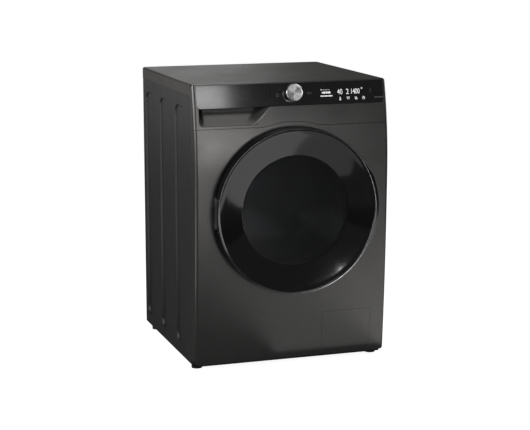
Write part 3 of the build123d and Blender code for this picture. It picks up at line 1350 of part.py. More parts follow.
def pump_impeller():
    """Four straight blades on a hub and shaft."""
    front = PUMP_CHAMBER - 1
    back = PUMP_MOTOR_FRONT - PUMP_WALL - 1
    impeller = pump_disc(7, front, back)
    impeller += pump_disc(3, back - 1, PUMP_BACK - 8)
    blade = 2.0
    for angle in (0, 90):
        turn = Pos(PUMP_X, 0, PUMP_Z) * Rot(0, angle, 0) * Pos(-PUMP_X, 0, -PUMP_Z)
        impeller += turn * block(
            PUMP_X - IMPELLER_RADIUS, PUMP_X + IMPELLER_RADIUS, front, back, PUMP_Z - blade / 2, PUMP_Z + blade / 2
        )
    return impeller


def filter_cap():
    """Drain filter: screw-in cap with a finger bar and its lint cage."""
    bore = PUMP_RADIUS - PUMP_WALL
    cap = pump_disc(bore + 2, CAP_FRONT + 6, PUMP_FRONT - PANEL_GAP)
    cap += pump_disc(bore - 0.4, PUMP_FRONT - 1, CAP_BACK)
    cap += block(PUMP_X - bore + 6, PUMP_X + bore - 6, CAP_FRONT - 6, CAP_FRONT + 7, PUMP_Z - 5, PUMP_Z + 5)
    cage = pump_disc(bore - 8, CAP_BACK - 1, SUMP_DEPTH - NOZZLE_RADIUS + 10, hole=bore - 10)
    for angle in (45, 135):
        turn = Pos(PUMP_X, 0, PUMP_Z) * Rot(0, angle, 0) * Pos(-PUMP_X, 0, -PUMP_Z)
        cage -= turn * block(
            PUMP_X - bore, PUMP_X + bore, CAP_BACK + 8, SUMP_DEPTH - 12, PUMP_Z - 7, PUMP_Z + 7
        )
    return cap + cage


def sump_hose():
    """Corrugated rubber boot between the tub's spigot and the pump."""
    bore = NOZZLE_RADIUS + PANEL_GAP
    low, high = PUMP_NOZZLE_TOP - 12, SUMP_SPIGOT_END + 9
    boot = post(bore + 2, PUMP_X, SUMP_DEPTH, low, high)
    folds = 5
    start, end = PUMP_NOZZLE_TOP + 6, SUMP_SPIGOT_END - 6
    step = (end - start) / folds
    for index in range(folds):
        boot += post(SUMP_HOSE_RADIUS, PUMP_X, SUMP_DEPTH, start + index * step, start + (index + 0.5) * step)
    return boot - post(bore, PUMP_X, SUMP_DEPTH, low - 1, high + 1)


def drain_pipe():
    """Rigid drain pipe from the pump to the spigot behind the rear panel."""
    front = PUMP_MOTOR_FRONT + 2
    pipe = disc(DRAIN_RADIUS, front, BODY_DEPTH, x=DRAIN_X, z=DRAIN_Z)
    pipe += disc(DRAIN_SPIGOT, BODY_DEPTH - 1, DRAIN_END, x=DRAIN_X, z=DRAIN_Z)
    return pipe - disc(DRAIN_BORE, front - 1, DRAIN_END + 1, x=DRAIN_X, z=DRAIN_Z)


def filter_flap():
    """Service flap in the front panel, on two pin stubs at its foot."""
    flap = front_skin(flap_outline(0), 0, FLAP_THICKNESS)
    axis_depth = flap_axis_depth()
    across = Plane(origin=(0, at(axis_depth), FLAP_HINGE_Z), x_dir=(0, 1, 0), z_dir=(1, 0, 0))
    ends = (FLAP_LEFT - 2 * FLAP_GAP - 1, FLAP_RIGHT + 2 * FLAP_GAP + 1)
    for x, end in zip((FLAP_LEFT + 1, FLAP_RIGHT - 5), ends):
        z0, z1 = FLAP_HINGE_Z - 3, FLAP_HINGE_Z + 6
        flap += block(x, x + 4, axis_depth - FLAP_HINGE_SETBACK + 1.2, axis_depth + 2.6, z0, z1)
        low, high = sorted((x + 2, end))
        flap += across * Pos(0, 0, low) * extrude(Circle(FLAP_PIN), amount=high - low)
    return flap


# ---- feet and fasteners ----------------------------------------------------------------------------------------------------------
def foot(x, depth):
    """Levelling foot: pad, neck and threaded stem, turned by hand."""
    pad = post(FOOT_RADIUS, x, depth, 0, FOOT_PAD)
    pad = chamfer(pad.edges().sort_by(Axis.Z)[-1], 2)
    return pad + post(FOOT_STEM, x, depth, FOOT_PAD - 1, FOOT_STEM_TOP)


def foot_locknuts():
    nuts = Part()
    for x, depth in foot_places():
        hexagon = RegularPolygon(LOCKNUT_FLATS / 2, 6, major_radius=False)
        nut = extrude(hexagon - Circle(FOOT_STEM + RUNNING_CLEARANCE), amount=LOCKNUT_HEIGHT)
        nuts += Pos(x, at(depth), CABINET_BOTTOM - LOCKNUT_HEIGHT) * nut
    return nuts


def cabinet_screws():
    """Heads of the service cover's and the worktop's screws on the back."""
    screws = Part()
    orbit = (SERVICE_HOLE + SERVICE_COVER) / 2
    for index in range(6):
        angle = radians(30 + index * 60)
        x, z = orbit * sin(angle), AXIS_Z + orbit * cos(angle)
        front = BODY_DEPTH + SHEET
        screws += disc(4.5, front, front + 2.6, x=x, z=z)
    for x in (-HALF + 60, HALF - 60):
        screws += disc(4.5, BODY_DEPTH, BODY_DEPTH + 2.6, x=x, z=SHEET_TOP - 9)
    return screws


# ---- all pieces --------------------------------------------------------------------------------------------------------------------
def pieces():
    """Every sub-part by its node name."""
    feet = dict(zip(("front_left", "front_right", "rear_left", "rear_right"), foot_places()))
    nodes = {
        "side_panel_left": side_panel(-1),
        "side_panel_right": side_panel(1),
        "rear_panel": rear_panel(),
        "rear_service_cover": rear_service_cover(),
        "base_tray": base_tray(),
        "front_panel": front_panel(),
        "top_braces": cabinet_top_braces(),
        "worktop": worktop(),
        "console_fascia": console_fascia(),
        "control_panel": control_panel(),
        "display_board": display_board(),
        "drawer_housing": drawer_housing(),
        "inlet_valve": inlet_valve(),
        "fill_hose": fill_hose(),
        "door_hinge_bracket": door_hinge_bracket(),
        "door_hinge_pin": door_hinge_pin(),
        "door_lock": door_lock(),
        "door_gasket": door_gasket(),
        "drain_pump": drain_pump(),
        "sump_hose": sump_hose(),
        "drain_pipe": drain_pipe(),
        "damper_cylinders": damper_cylinders(),
        "foot_locknuts": foot_locknuts(),
        "mains_gland": mains_gland(),
        "cabinet_screws": cabinet_screws(),
        "suspension_springs": suspension_springs(),
        "door_back_frame": door_back_frame(),
        "door_outer_ring": door_outer_ring(),
        "door_trim_ring": door_trim_ring(),
        "door_window": door_window(),
        "door_glass_bowl": door_glass_bowl(),
        "door_hinge_leaf": door_hinge_leaf(),
        "door_hook": door_hook(),
        "drawer_front": drawer_front(),
        "drawer_trim": drawer_trim(),
        "drawer_box": drawer_box(),
        "siphon_cap": siphon_cap(),
        "dial_knob": dial_knob(),
        "filter_flap": filter_flap(),
        "filter_cap": filter_cap(),
        "tub_rear": tub_rear(),
        "tub_front": tub_front() + tub_clips(),
        "counterweight_front": counterweight_front(),
        "counterweight_top": counterweight_top(),
        "heater": heater(),
        "drum_bearings": drum_bearings(),
        "shaft_seal": shaft_seal(),
        "motor_housing": motor_housing(),
        "damper_rods": damper_rods(),
        "drive_belt": drive_belt(),
        "drum": drum(),
        "drum_lifters": drum_lifters(),
        "drum_spider": drum_spider(),
        "drum_pulley": drum_pulley(),
        "motor_rotor": motor_rotor(),
        "pump_impeller": pump_impeller(),
    }
    for name, (x, depth) in feet.items():
        nodes["foot_" + name] = foot(x, depth)
    return nodes


os.makedirs("parts", exist_ok=True)
for name, piece in pieces().items():
    export_step(piece, "parts/" + name + ".step")
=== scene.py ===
# %% [markdown]
# # A front loading washing machine
# The machine comes in as plain solids: a bowed sheet front, a deep round door, a console with one dial,
# and all the works behind them. Their sizes are right, so nothing is measured again here. What is left to
# do is what the eye sees: paint with fine metal flake in it, gloss black plastic, a spun dial, smoked
# door glass, a perforated drum and soft rubber. Each step below takes one piece or one finish.

import json
import math

import bmesh
import bpy
from mathutils import Matrix, Vector

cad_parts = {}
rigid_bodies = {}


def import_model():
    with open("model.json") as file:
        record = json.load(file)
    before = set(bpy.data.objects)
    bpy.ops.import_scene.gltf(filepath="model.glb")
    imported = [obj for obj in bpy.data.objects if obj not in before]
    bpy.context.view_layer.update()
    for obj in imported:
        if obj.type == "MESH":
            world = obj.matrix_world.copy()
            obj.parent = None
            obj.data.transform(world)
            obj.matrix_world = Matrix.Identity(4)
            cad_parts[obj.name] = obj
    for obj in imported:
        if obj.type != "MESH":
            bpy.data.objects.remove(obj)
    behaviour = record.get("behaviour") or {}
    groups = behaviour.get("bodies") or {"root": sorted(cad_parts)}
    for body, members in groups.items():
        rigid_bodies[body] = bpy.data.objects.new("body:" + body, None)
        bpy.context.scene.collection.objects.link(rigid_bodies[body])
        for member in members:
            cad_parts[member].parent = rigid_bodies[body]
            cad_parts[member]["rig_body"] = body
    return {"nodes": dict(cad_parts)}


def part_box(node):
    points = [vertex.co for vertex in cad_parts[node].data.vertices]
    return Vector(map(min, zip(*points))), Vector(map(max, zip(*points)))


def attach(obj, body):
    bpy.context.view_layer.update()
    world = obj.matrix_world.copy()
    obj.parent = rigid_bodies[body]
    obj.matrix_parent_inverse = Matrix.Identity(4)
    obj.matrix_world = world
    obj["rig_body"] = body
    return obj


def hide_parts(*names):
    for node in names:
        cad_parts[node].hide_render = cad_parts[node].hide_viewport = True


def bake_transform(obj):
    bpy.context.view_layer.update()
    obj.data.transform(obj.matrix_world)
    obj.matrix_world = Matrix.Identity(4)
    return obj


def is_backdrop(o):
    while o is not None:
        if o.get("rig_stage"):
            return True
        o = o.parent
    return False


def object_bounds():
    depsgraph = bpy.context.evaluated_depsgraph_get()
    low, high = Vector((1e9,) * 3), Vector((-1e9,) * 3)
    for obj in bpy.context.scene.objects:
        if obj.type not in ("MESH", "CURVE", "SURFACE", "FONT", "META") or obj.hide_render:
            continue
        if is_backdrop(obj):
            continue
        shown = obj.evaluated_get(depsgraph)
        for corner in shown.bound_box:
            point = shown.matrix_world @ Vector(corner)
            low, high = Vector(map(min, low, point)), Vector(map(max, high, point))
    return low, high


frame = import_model()
solids = frame["nodes"]
cad_low, cad_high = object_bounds()
print(len(solids), "solids, box", [round(v * 1000) for v in cad_high - cad_low], "mm")

# %% [markdown]
# ## Main places
# The casing's front isn't flat. Seen from the side it is a shallow bow, fullest some way above the door's
# middle, with a tighter curve above that point and a nearly flat one below. The depth of the bow could be
# looked up in the mesh wherever a piece sits on it, but a mesh knows it only at its points. Two arcs give
# it at any height, so everything on the front takes its depth from them.

# %% Main places
BULGE_Z = 0.590  # height of the fullest point
UPPER_BOW = 1.011  # radius of the curve above it
LOWER_BOW = 7.5  # radius of the curve below it
front_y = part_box("front_panel")[0].y
drum_low, drum_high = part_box("drum")
axis_z = (drum_low.z + drum_high.z) / 2
half_width = cad_high.x


def front_depth(z):
    """Depth of the casing's outer front at a height."""
    bow = UPPER_BOW if z > BULGE_Z else LOWER_BOW
    return front_y + bow - math.sqrt(bow**2 - (z - BULGE_Z) ** 2)


print("front at", round(front_y, 4), "drum's axis at", round(axis_z, 4))

# %% [markdown]
# ## Camera
# The machine is looked at from its left and from above the lid. A short lens close by would make the
# upright edges lean and the door bulge, and a camera without perspective would make the lid look tipped
# up. A long lens from nearly five metres keeps the edges nearly upright and the depth true.

# %% Camera
LENS = 104.7
FILM_WIDTH = 36.0
LOOKING_DOWN = 10.87
TURNED_RIGHT = 18.46
lens = bpy.data.cameras.new("studio_camera")
lens.lens = LENS
lens.sensor_width = FILM_WIDTH
camera = bpy.data.objects.new("studio_camera", lens)
camera.location = (-1.490, -4.4825, 1.315)
camera.rotation_euler = (math.radians(90 - LOOKING_DOWN), 0, math.radians(-TURNED_RIGHT))
bpy.context.scene.collection.objects.link(camera)
bpy.context.scene.camera = camera
bpy.context.scene.view_settings.view_transform = "Standard"
print("camera", round((Vector(camera.location) - (cad_low + cad_high) / 2).length, 2), "m from the middle")

# %% [markdown]
# ## Surroundings and floor
# A dark machine shows its shape by what it mirrors, so the room matters as much as the paint. A plain
# white room would wash out the gloss black, and a dark one would leave no pale background. A light path
# node tells what kind of ray is asking, so the room and the floor can look white to the eye, also through
# glass, and much darker to the gloss.

# %% Brightness by the kind of ray
def reckon(tree, operation, first, second=None):
    """One arithmetic node. Each input is a number or another node's output."""
    made = tree.nodes.new("ShaderNodeMath")
    made.operation = operation
    for index, given in enumerate((first, second)):
        if isinstance(given, (int, float)):
            made.inputs[index].default_value = given
        elif given is not None:
            tree.links.new(given, made.inputs[index])
    return made.outputs[0]


def by_ray(tree, to_eye, to_gloss):
    """A brightness for what is seen, directly or through glass, and another for what is mirrored."""
    ray = tree.nodes.new("ShaderNodeLightPath")
    seen = reckon(tree, "MAXIMUM", ray.outputs["Is Camera Ray"], ray.outputs["Is Transmission Ray"])
    seen = reckon(tree, "MULTIPLY", seen, to_eye)
    mirrored = reckon(tree, "MULTIPLY", ray.outputs["Is Glossy Ray"], to_gloss)
    return reckon(tree, "MAXIMUM", seen, mirrored)


print("helpers:", reckon.__name__, by_ray.__name__)

# %% Surroundings
ROOM_TO_EYE = 1.0
ROOM_AS_LIGHT = 0.10
world = bpy.data.worlds.new("studio_air")
bpy.context.scene.world = world
world.use_nodes = True
air = world.node_tree
air.nodes.clear()
sky = air.nodes.new("ShaderNodeBackground")
sky.inputs["Color"].default_value = (1, 1, 1, 1)
strength = reckon(air, "MAXIMUM", by_ray(air, ROOM_TO_EYE, ROOM_AS_LIGHT), ROOM_AS_LIGHT)
out = air.nodes.new("ShaderNodeOutputWorld")
air.links.new(strength, sky.inputs["Strength"])
air.links.new(sky.outputs[0], out.inputs["Surface"])
print("surroundings:", ROOM_TO_EYE, "to the eye,", ROOM_AS_LIGHT, "as light")

# %% [markdown]
# The floor is one wide disc. With a glow alone it would lose the machine's shadow, and with paint alone
# it would turn grey away from the lamps. It has both: a matt paint that takes the shadow, and a glow that
# lifts it to white. In the gloss it is a dull grey, so that the lower half of the machine stays dark.

# %% Floor
FLOOR_TONE = (0.72, 0.72, 0.72, 1)
FLOOR_TONE_IN_GLOSS = (0.16, 0.16, 0.16, 1)
bpy.ops.object.select_all(action="DESELECT")
bpy.ops.mesh.primitive_circle_add(vertices=96, radius=40, fill_type="NGON", location=(0, 0, 0))
floor = bpy.context.object
floor.name = "studio_floor"
floor_paint = bpy.data.materials.new("floor_paint")
floor_paint.use_nodes = True
tree = floor_paint.node_tree
tree.nodes.clear()
ray = tree.nodes.new("ShaderNodeLightPath")
tone = tree.nodes.new("ShaderNodeMix")
tone.data_type = "RGBA"
tone.inputs["A"].default_value = FLOOR_TONE
tone.inputs["B"].default_value = FLOOR_TONE_IN_GLOSS
tree.links.new(ray.outputs["Is Glossy Ray"], tone.inputs["Factor"])
matt = tree.nodes.new("ShaderNodeBsdfDiffuse")
tree.links.new(tone.outputs["Result"], matt.inputs["Color"])
glow = tree.nodes.new("ShaderNodeEmission")
tree.links.new(by_ray(tree, to_eye=0.93, to_gloss=0.03), glow.inputs["Strength"])
both = tree.nodes.new("ShaderNodeAddShader")
tree.links.new(matt.outputs[0], both.inputs[0])
tree.links.new(glow.outputs[0], both.inputs[1])
out = tree.nodes.new("ShaderNodeOutputMaterial")
tree.links.new(both.outputs[0], out.inputs["Surface"])
floor.data.materials.append(floor_paint)
floor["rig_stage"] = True
print("floor", [round(v) for v in floor.dimensions], "m")

# %% [markdown]
# ## Lamps
# A matt object would do with three lamps round it, but gloss black mirrors a small strong lamp as a hard
# white patch and shows nothing between the lamps. So the lamps are large, weak cards, and each stands
# where a surface mirrors it towards the eye. A brightness per area is given instead of a wattage, so a
# card can be resized without getting brighter.

# %% Soft boxes
def soft_box(name, place, aim, width, height, brightness):
    """A rectangular soft lamp whose face has the given brightness. The camera doesn't see it."""
    data = bpy.data.lights.new(name, "AREA")
    data.shape = "RECTANGLE"
    data.size, data.size_y = width, height
    data.energy = math.pi * width * height * brightness
    lamp = bpy.data.objects.new(name, data)
    lamp.location = place
    toward = Vector(aim) - Vector(place)
    lamp.rotation_euler = toward.to_track_quat("-Z", "Y").to_euler()
    lamp.visible_camera = False
    bpy.context.scene.collection.objects.link(lamp)


def floor_card(name, x, y, width, depth, brightness, height=0.02):
    """A card that lies just above the floor and shines straight up."""
    soft_box(name, (x, y, height), (x, y, 1.0), width, depth, brightness)


print("helpers:", soft_box.__name__, floor_card.__name__)

# %% [markdown]
# The front is bowed, so each height of it mirrors another height of the room. One card straight ahead
# makes the glow at the upper left of the sheet, and one close by is mirrored by the strip over the
# drawer. Cards on the floor make the glow low on the right, and one overhead fills in the rest.

# %% Lamps for the front
soft_box("card_front_bright", (0.33, -2.90, 0.76), (0.00, -0.28, 0.70), 0.54, 0.60, 8.2)
soft_box("card_strip", (-0.03, -1.30, 1.16), (-0.15, -0.28, 0.81), 0.32, 0.26, 4.6)
floor_card("card_floor_left", 0.24, -2.60, 0.55, 1.40, 2.4)
floor_card("card_floor_right", 0.95, -0.78, 1.30, 0.98, 0.50)
floor_card("card_floor_right_wide", 0.78, -0.78, 1.64, 0.98, 0.38, height=0.03)
floor_card("card_floor_far", 0.92, -1.93, 0.40, 1.00, 1.2)
soft_box("card_over_front", (0.40, -1.30, 2.60), (0.00, -0.28, 0.75), 1.00, 0.80, 1.6)

# %% [markdown]
# The lid and the sides are flat and are seen at a slant, so they mirror what stands behind and beside the
# machine. Two cards behind it give the lid and the left side a slope from pale to dark, a near card and a
# large box light the left side, another card the right one, and one narrow upright box on the left draws
# the bright line down the rounded corner.

# %% Lamps for the lid and the sides
soft_box("card_back", (0.45, 3.00, 1.80), (0.00, 0.00, 0.85), 1.10, 1.10, 1.25)
soft_box("card_back_left", (-1.95, 3.00, 0.70), (-0.30, 0.30, 0.50), 1.20, 0.90, 0.8)
soft_box("card_side", (-0.95, -0.62, 1.25), (-0.30, -0.25, 0.90), 0.34, 0.46, 5.4)
soft_box("card_right", (2.80, 0.35, 1.30), (0.30, 0.10, 0.50), 1.60, 1.40, 1.1)
floor_card("card_floor_side", -2.0, -0.30, 1.60, 0.90, 2.2)
soft_box("box_left", (-2.60, -0.35, 1.15), (-0.30, -0.28, 0.80), 1.10, 0.80, 3.8)
soft_box("box_corner", (-2.40, -1.50, 1.12), (-0.30, -0.28, 0.75), 0.60, 1.25, 6.0)

# %% [markdown]
# ## Finishes
# A finish is a Principled surface with a pattern or two on it. Painted image maps would need a flat
# layout of every piece. Patterns worked out from Object coordinates need none, and those are in metres,
# so a scale of 900 means grains of about a millimetre on every piece. These few helpers add a noise or a
# pattern of cells, and use it as a colour, as a change of gloss or as a fine relief.

# %% A finish and its patterns
def new_finish(name, colour, metal, rough):
    """An even finish to start from: the material, its tree and its surface."""
    made = bpy.data.materials.new(name)
    made.use_nodes = True
    surface = made.node_tree.nodes["Principled BSDF"]
    surface.inputs["Base Color"].default_value = (*colour, 1.0)
    surface.inputs["Metallic"].default_value = metal
    surface.inputs["Roughness"].default_value = rough
    return made, made.node_tree, surface


def where(tree, stretch=(1, 1, 1), shift=(0, 0, 0)):
    """Object coordinates, moved and then stretched."""
    spot = tree.nodes.new("ShaderNodeTexCoord")
    place = tree.nodes.new("ShaderNodeMapping")
    place.vector_type = "POINT"
    place.inputs["Location"].default_value = [a * b for a, b in zip(shift, stretch)]
    place.inputs["Scale"].default_value = stretch
    tree.links.new(spot.outputs["Object"], place.inputs["Vector"])
    return place.outputs["Vector"]


def noise(tree, scale, detail=2.0, stretch=(1, 1, 1)):
    """A cloudy pattern from 0 to 1."""
    cloud = tree.nodes.new("ShaderNodeTexNoise")
    cloud.inputs["Scale"].default_value = scale
    cloud.inputs["Detail"].default_value = detail
    tree.links.new(where(tree, stretch), cloud.inputs["Vector"])
    return cloud.outputs["Fac"]


def cells(tree, scale):
    """A pattern of small cells: its outputs are a colour for each cell and the distance to its middle."""
    grid = tree.nodes.new("ShaderNodeTexVoronoi")
    grid.inputs["Scale"].default_value = scale
    tree.links.new(where(tree), grid.inputs["Vector"])
    return grid.outputs


print("helpers:", new_finish.__name__, where.__name__, noise.__name__, cells.__name__)


# %% What a pattern does to a surface
def tint(tree, surface, pattern, dark, light, start=0.35, end=0.65):
    """The colour runs from dark to light as the pattern goes from start to end."""
    ramp = tree.nodes.new("ShaderNodeValToRGB")
    ramp.color_ramp.elements[0].position = start
    ramp.color_ramp.elements[1].position = end
    ramp.color_ramp.elements[0].color = (*dark, 1)
    ramp.color_ramp.elements[1].color = (*light, 1)
    tree.links.new(pattern, ramp.inputs["Fac"])
    tree.links.new(ramp.outputs["Color"], surface.inputs["Base Color"])


def vary(tree, surface, pattern, low, high):
    """The roughness runs from low to high over the middle of the pattern."""
    span = tree.nodes.new("ShaderNodeMapRange")
    span.inputs["From Min"].default_value = 0.3
    span.inputs["From Max"].default_value = 0.7
    span.inputs["To Min"].default_value = low
    span.inputs["To Max"].default_value = high
    tree.links.new(pattern, span.inputs["Value"])
    tree.links.new(span.outputs["Result"], surface.inputs["Roughness"])


def relief(tree, surface, pattern, height, strength):
    """The pattern as a fine relief, its height in metres."""
    bump = tree.nodes.new("ShaderNodeBump")
    bump.inputs["Distance"].default_value = height
    bump.inputs["Strength"].default_value = strength
    tree.links.new(pattern, bump.inputs["Height"])
    tree.links.new(bump.outputs["Normal"], surface.inputs["Normal"])


print("helpers:", tint.__name__, vary.__name__, relief.__name__)

# %% [markdown]
# ### Graphite paint
# The front, the fascia and the flap are steel or plastic sprayed with a dark grey paint that has fine
# metal flake in it. Real flakes would be millions of tiny mirrors. A pattern of cells under a millimetre
# wide, each a little lighter or darker, gives the same slight sparkle for nothing. The spray leaves a
# very shallow orange peel, which is a relief, and handling makes the gloss a little uneven. The side
# sheets have the same colour in a duller coat.

# %% Graphite paint
FLAKES = 1400
ORANGE_PEEL = 420


def graphite(name, dark, light, metal, rough, peel):
    """Sprayed paint with metal flake."""
    made, tree, surface = new_finish(name, light, metal, rough)
    tint(tree, surface, cells(tree, FLAKES)["Color"], dark, light, start=0.2, end=0.9)
    vary(tree, surface, noise(tree, 14, detail=3), rough - 0.03, rough + 0.03)
    relief(tree, surface, noise(tree, ORANGE_PEEL), peel, strength=0.5)
    return made


front_paint = graphite("front_paint", (0.085, 0.083, 0.081), (0.125, 0.122, 0.120), 0.85, 0.33, 0.00003)
side_paint = graphite("side_paint", (0.026, 0.0255, 0.0255), (0.040, 0.039, 0.039), 0.35, 0.36, 0.00006)
print("paint:", front_paint.name, side_paint.name)

# %% [markdown]
# ### Lid
# The lid is a moulded top with a fine leather-like grain, so that dust and fingers don't show. The grain
# could be modelled by displacing a very fine mesh. It is a tenth of a millimetre high and nobody sees its
# outline, so a relief of small cells does as well.

# %% Lid grain
lid_grain, tree, surface = new_finish("lid_grain", (0.078, 0.074, 0.069), 0.35, 0.46)
tint(tree, surface, noise(tree, 900), (0.066, 0.062, 0.057), (0.092, 0.087, 0.081))
vary(tree, surface, noise(tree, 9, detail=3), 0.43, 0.50)
relief(tree, surface, cells(tree, 620)["Distance"], height=0.00010, strength=0.5)
print("lid:", lid_grain.name)

# %% [markdown]
# ### Gloss black
# The console strip and the door's outer ring are black moulded plastic under a clear hard coat. A perfect
# black mirror looks like a drawing of one. The real thing carries a faint haze and hairline wipe marks,
# which show only in what it mirrors, so the colour stays even and the roughness varies. The plastic that
# isn't polished has a fine moulded texture instead.

# %% Gloss black
def gloss(name, colour, rough, coat, coat_rough):
    """Polished plastic under a clear coat."""
    made, tree, surface = new_finish(name, colour, 0.0, rough)
    surface.inputs["Coat Weight"].default_value = coat
    surface.inputs["Coat Roughness"].default_value = coat_rough
    tint(tree, surface, noise(tree, 30), [c * 0.8 for c in colour], colour)
    vary(tree, surface, noise(tree, 60, detail=4, stretch=(1, 1, 6)), rough * 0.7, rough * 1.4)
    return made


panel_gloss = gloss("panel_gloss", (0.003, 0.003, 0.0035), rough=0.16, coat=1.0, coat_rough=0.12)
door_gloss = gloss("door_gloss", (0.002, 0.002, 0.002), rough=0.10, coat=0.6, coat_rough=0.06)
black_plastic, tree, surface = new_finish("black_plastic", (0.012, 0.012, 0.012), 0.0, 0.42)
tint(tree, surface, noise(tree, 500), (0.009, 0.009, 0.009), (0.016, 0.016, 0.016))
relief(tree, surface, cells(tree, 1500)["Distance"], height=0.00005, strength=0.4)
print("black:", panel_gloss.name, door_gloss.name, black_plastic.name)

# %% [markdown]
# ### Bright metals
# The thin ring on the door is polished, with the slight streaks of a wheel run round it. The dial is
# turned from alloy: its side and its chamfer are bright, and its face is spun, so the fine grooves are
# circles and the shine is a fan of rays. The grooves could be a relief, but they are too fine for that.
# An anisotropic surface, whose direction runs round the dial's axis, has the same shine without any
# grooves.

# %% Bright metals
DIAL_X, DIAL_Z = 0.005, 0.8165
dial_lean = math.asin((DIAL_Z - BULGE_Z) / UPPER_BOW)
dial_axis = (0, -math.cos(dial_lean), math.sin(dial_lean))
bright_ring, tree, surface = new_finish("bright_ring", (0.20, 0.20, 0.205), 1.0, 0.16)
tint(tree, surface, noise(tree, 300), (0.16, 0.16, 0.165), (0.22, 0.22, 0.225))
vary(tree, surface, noise(tree, 80, detail=3), 0.13, 0.22)
dial_rim, tree, surface = new_finish("dial_rim", (0.86, 0.86, 0.86), 1.0, 0.20)
tint(tree, surface, noise(tree, 400), (0.80, 0.80, 0.80), (0.90, 0.90, 0.89))
dial_side, tree, surface = new_finish("dial_side", (0.60, 0.60, 0.60), 1.0, 0.24)
tint(tree, surface, noise(tree, 500), (0.55, 0.55, 0.55), (0.66, 0.66, 0.66))
print("bright:", bright_ring.name, dial_rim.name, dial_side.name)

# %% Spun face
spun_face, tree, surface = new_finish("spun_face", (0.62, 0.62, 0.62), 1.0, 0.34)
tint(tree, surface, noise(tree, 700), (0.56, 0.56, 0.56), (0.66, 0.66, 0.65))
surface.inputs["Anisotropic"].default_value = 0.75
round_axis = tree.nodes.new("ShaderNodeVectorMath")
round_axis.operation = "CROSS_PRODUCT"
round_axis.inputs[1].default_value = dial_axis
from_middle = where(tree, shift=(-DIAL_X, -front_depth(DIAL_Z), -DIAL_Z))
tree.links.new(from_middle, round_axis.inputs[0])
along = tree.nodes.new("ShaderNodeVectorMath")
along.operation = "NORMALIZE"
tree.links.new(round_axis.outputs["Vector"], along.inputs[0])
tree.links.new(along.outputs["Vector"], surface.inputs["Tangent"])
print("spun:", spun_face.name, "leaning", round(math.degrees(dial_lean), 1), "degrees")

# %% [markdown]
# ### Ink
# The marks are printed behind the console's clear coat: white ones that a lamp lights from behind, and
# grey ones that stay in the background. Plain white paint would read as grey beside the lit room, so the
# white ink also glows a little. Both are matt and slightly uneven, as a thin print is.

# %% Ink
white_ink, tree, surface = new_finish("white_ink", (0.80, 0.80, 0.80), 0.0, 0.5)
surface.inputs["Emission Color"].default_value = (1.0, 1.0, 1.0, 1.0)
surface.inputs["Emission Strength"].default_value = 0.45
tint(tree, surface, noise(tree, 900), (0.72, 0.72, 0.72), (0.84, 0.84, 0.84))
grey_ink, tree, surface = new_finish("grey_ink", (0.10, 0.10, 0.10), 0.0, 0.5)
tint(tree, surface, noise(tree, 900), (0.085, 0.085, 0.085), (0.115, 0.115, 0.115))
print("ink:", white_ink.name, grey_ink.name)

# %% [markdown]
# ### Glass
# The outer window is smoked and the bowl behind it is clear. Glass in a renderer throws a hard shadow, as
# if it were solid, and tracing the light through it takes long. A light path node lets the light that
# comes from the lamps straight through, only tinted, and the eye still sees the refraction.

# %% Glass
def glass(name, colour, passing, rough):
    """Glass of a colour, which lets the lamps' light pass with a tint of its own."""
    made, tree, surface = new_finish(name, colour, 0.0, rough)
    surface.inputs["Transmission Weight"].default_value = 1.0
    surface.inputs["IOR"].default_value = 1.45
    tint(tree, surface, noise(tree, 4, detail=1), [c * 0.9 for c in colour], colour)
    ray = tree.nodes.new("ShaderNodeLightPath")
    through = tree.nodes.new("ShaderNodeBsdfTransparent")
    through.inputs["Color"].default_value = (*passing, 1)
    either = tree.nodes.new("ShaderNodeMixShader")
    tree.links.new(ray.outputs["Is Shadow Ray"], either.inputs["Fac"])
    tree.links.new(surface.outputs["BSDF"], either.inputs[1])
    tree.links.new(through.outputs["BSDF"], either.inputs[2])
    tree.links.new(either.outputs["Shader"], tree.nodes["Material Output"].inputs["Surface"])
    return made


smoked_glass = glass("smoked_glass", (0.10, 0.105, 0.11), passing=(0.35, 0.36, 0.38), rough=0.06)
clear_glass = glass("clear_glass", (0.90, 0.93, 0.92), passing=(0.90, 0.92, 0.92), rough=0.0)
print("glass:", smoked_glass.name, clear_glass.name)

# %% [markdown]
# ### Works
# Inside there is steel, galvanised sheet with its spangle, cast alloy, plastic, rubber and concrete. They
# are seen with the door or the drawer open, from behind, or through the service opening. Each could have
# a finish of its own. At that distance they differ in colour, gloss, grain and relief alone, so one
# function makes them all, with noise for a grain and cells for a spangle.

# %% Works
def plain(name, dark, light, metal, rough, grain, height=0.0, spangle=False):
    """A finish with a grain, and a relief of the given height if there is one."""
    made, tree, surface = new_finish(name, light, metal, rough)
    pattern = cells(tree, grain)["Color"] if spangle else noise(tree, grain, detail=3)
    tint(tree, surface, pattern, dark, light, start=0.3, end=0.7)
    vary(tree, surface, noise(tree, 25, detail=3), rough - 0.015, rough + 0.02)
    if height:
        relief(tree, surface, noise(tree, grain * 1.7, detail=3), height, strength=0.6)
    return made


steel = plain("steel", (0.45, 0.45, 0.46), (0.52, 0.52, 0.53), 1.0, 0.31, 420)
hinge_metal = plain("hinge_metal", (0.34, 0.34, 0.35), (0.46, 0.46, 0.47), 1.0, 0.36, 90, 0.00003)
zinc = plain("zinc", (0.47, 0.48, 0.49), (0.56, 0.57, 0.58), 0.75, 0.46, 210, spangle=True)
cast_alloy = plain("cast_alloy", (0.36, 0.36, 0.36), (0.50, 0.50, 0.50), 0.9, 0.50, 240, 0.00012)
print("metals:", steel.name, hinge_metal.name, zinc.name, cast_alloy.name)

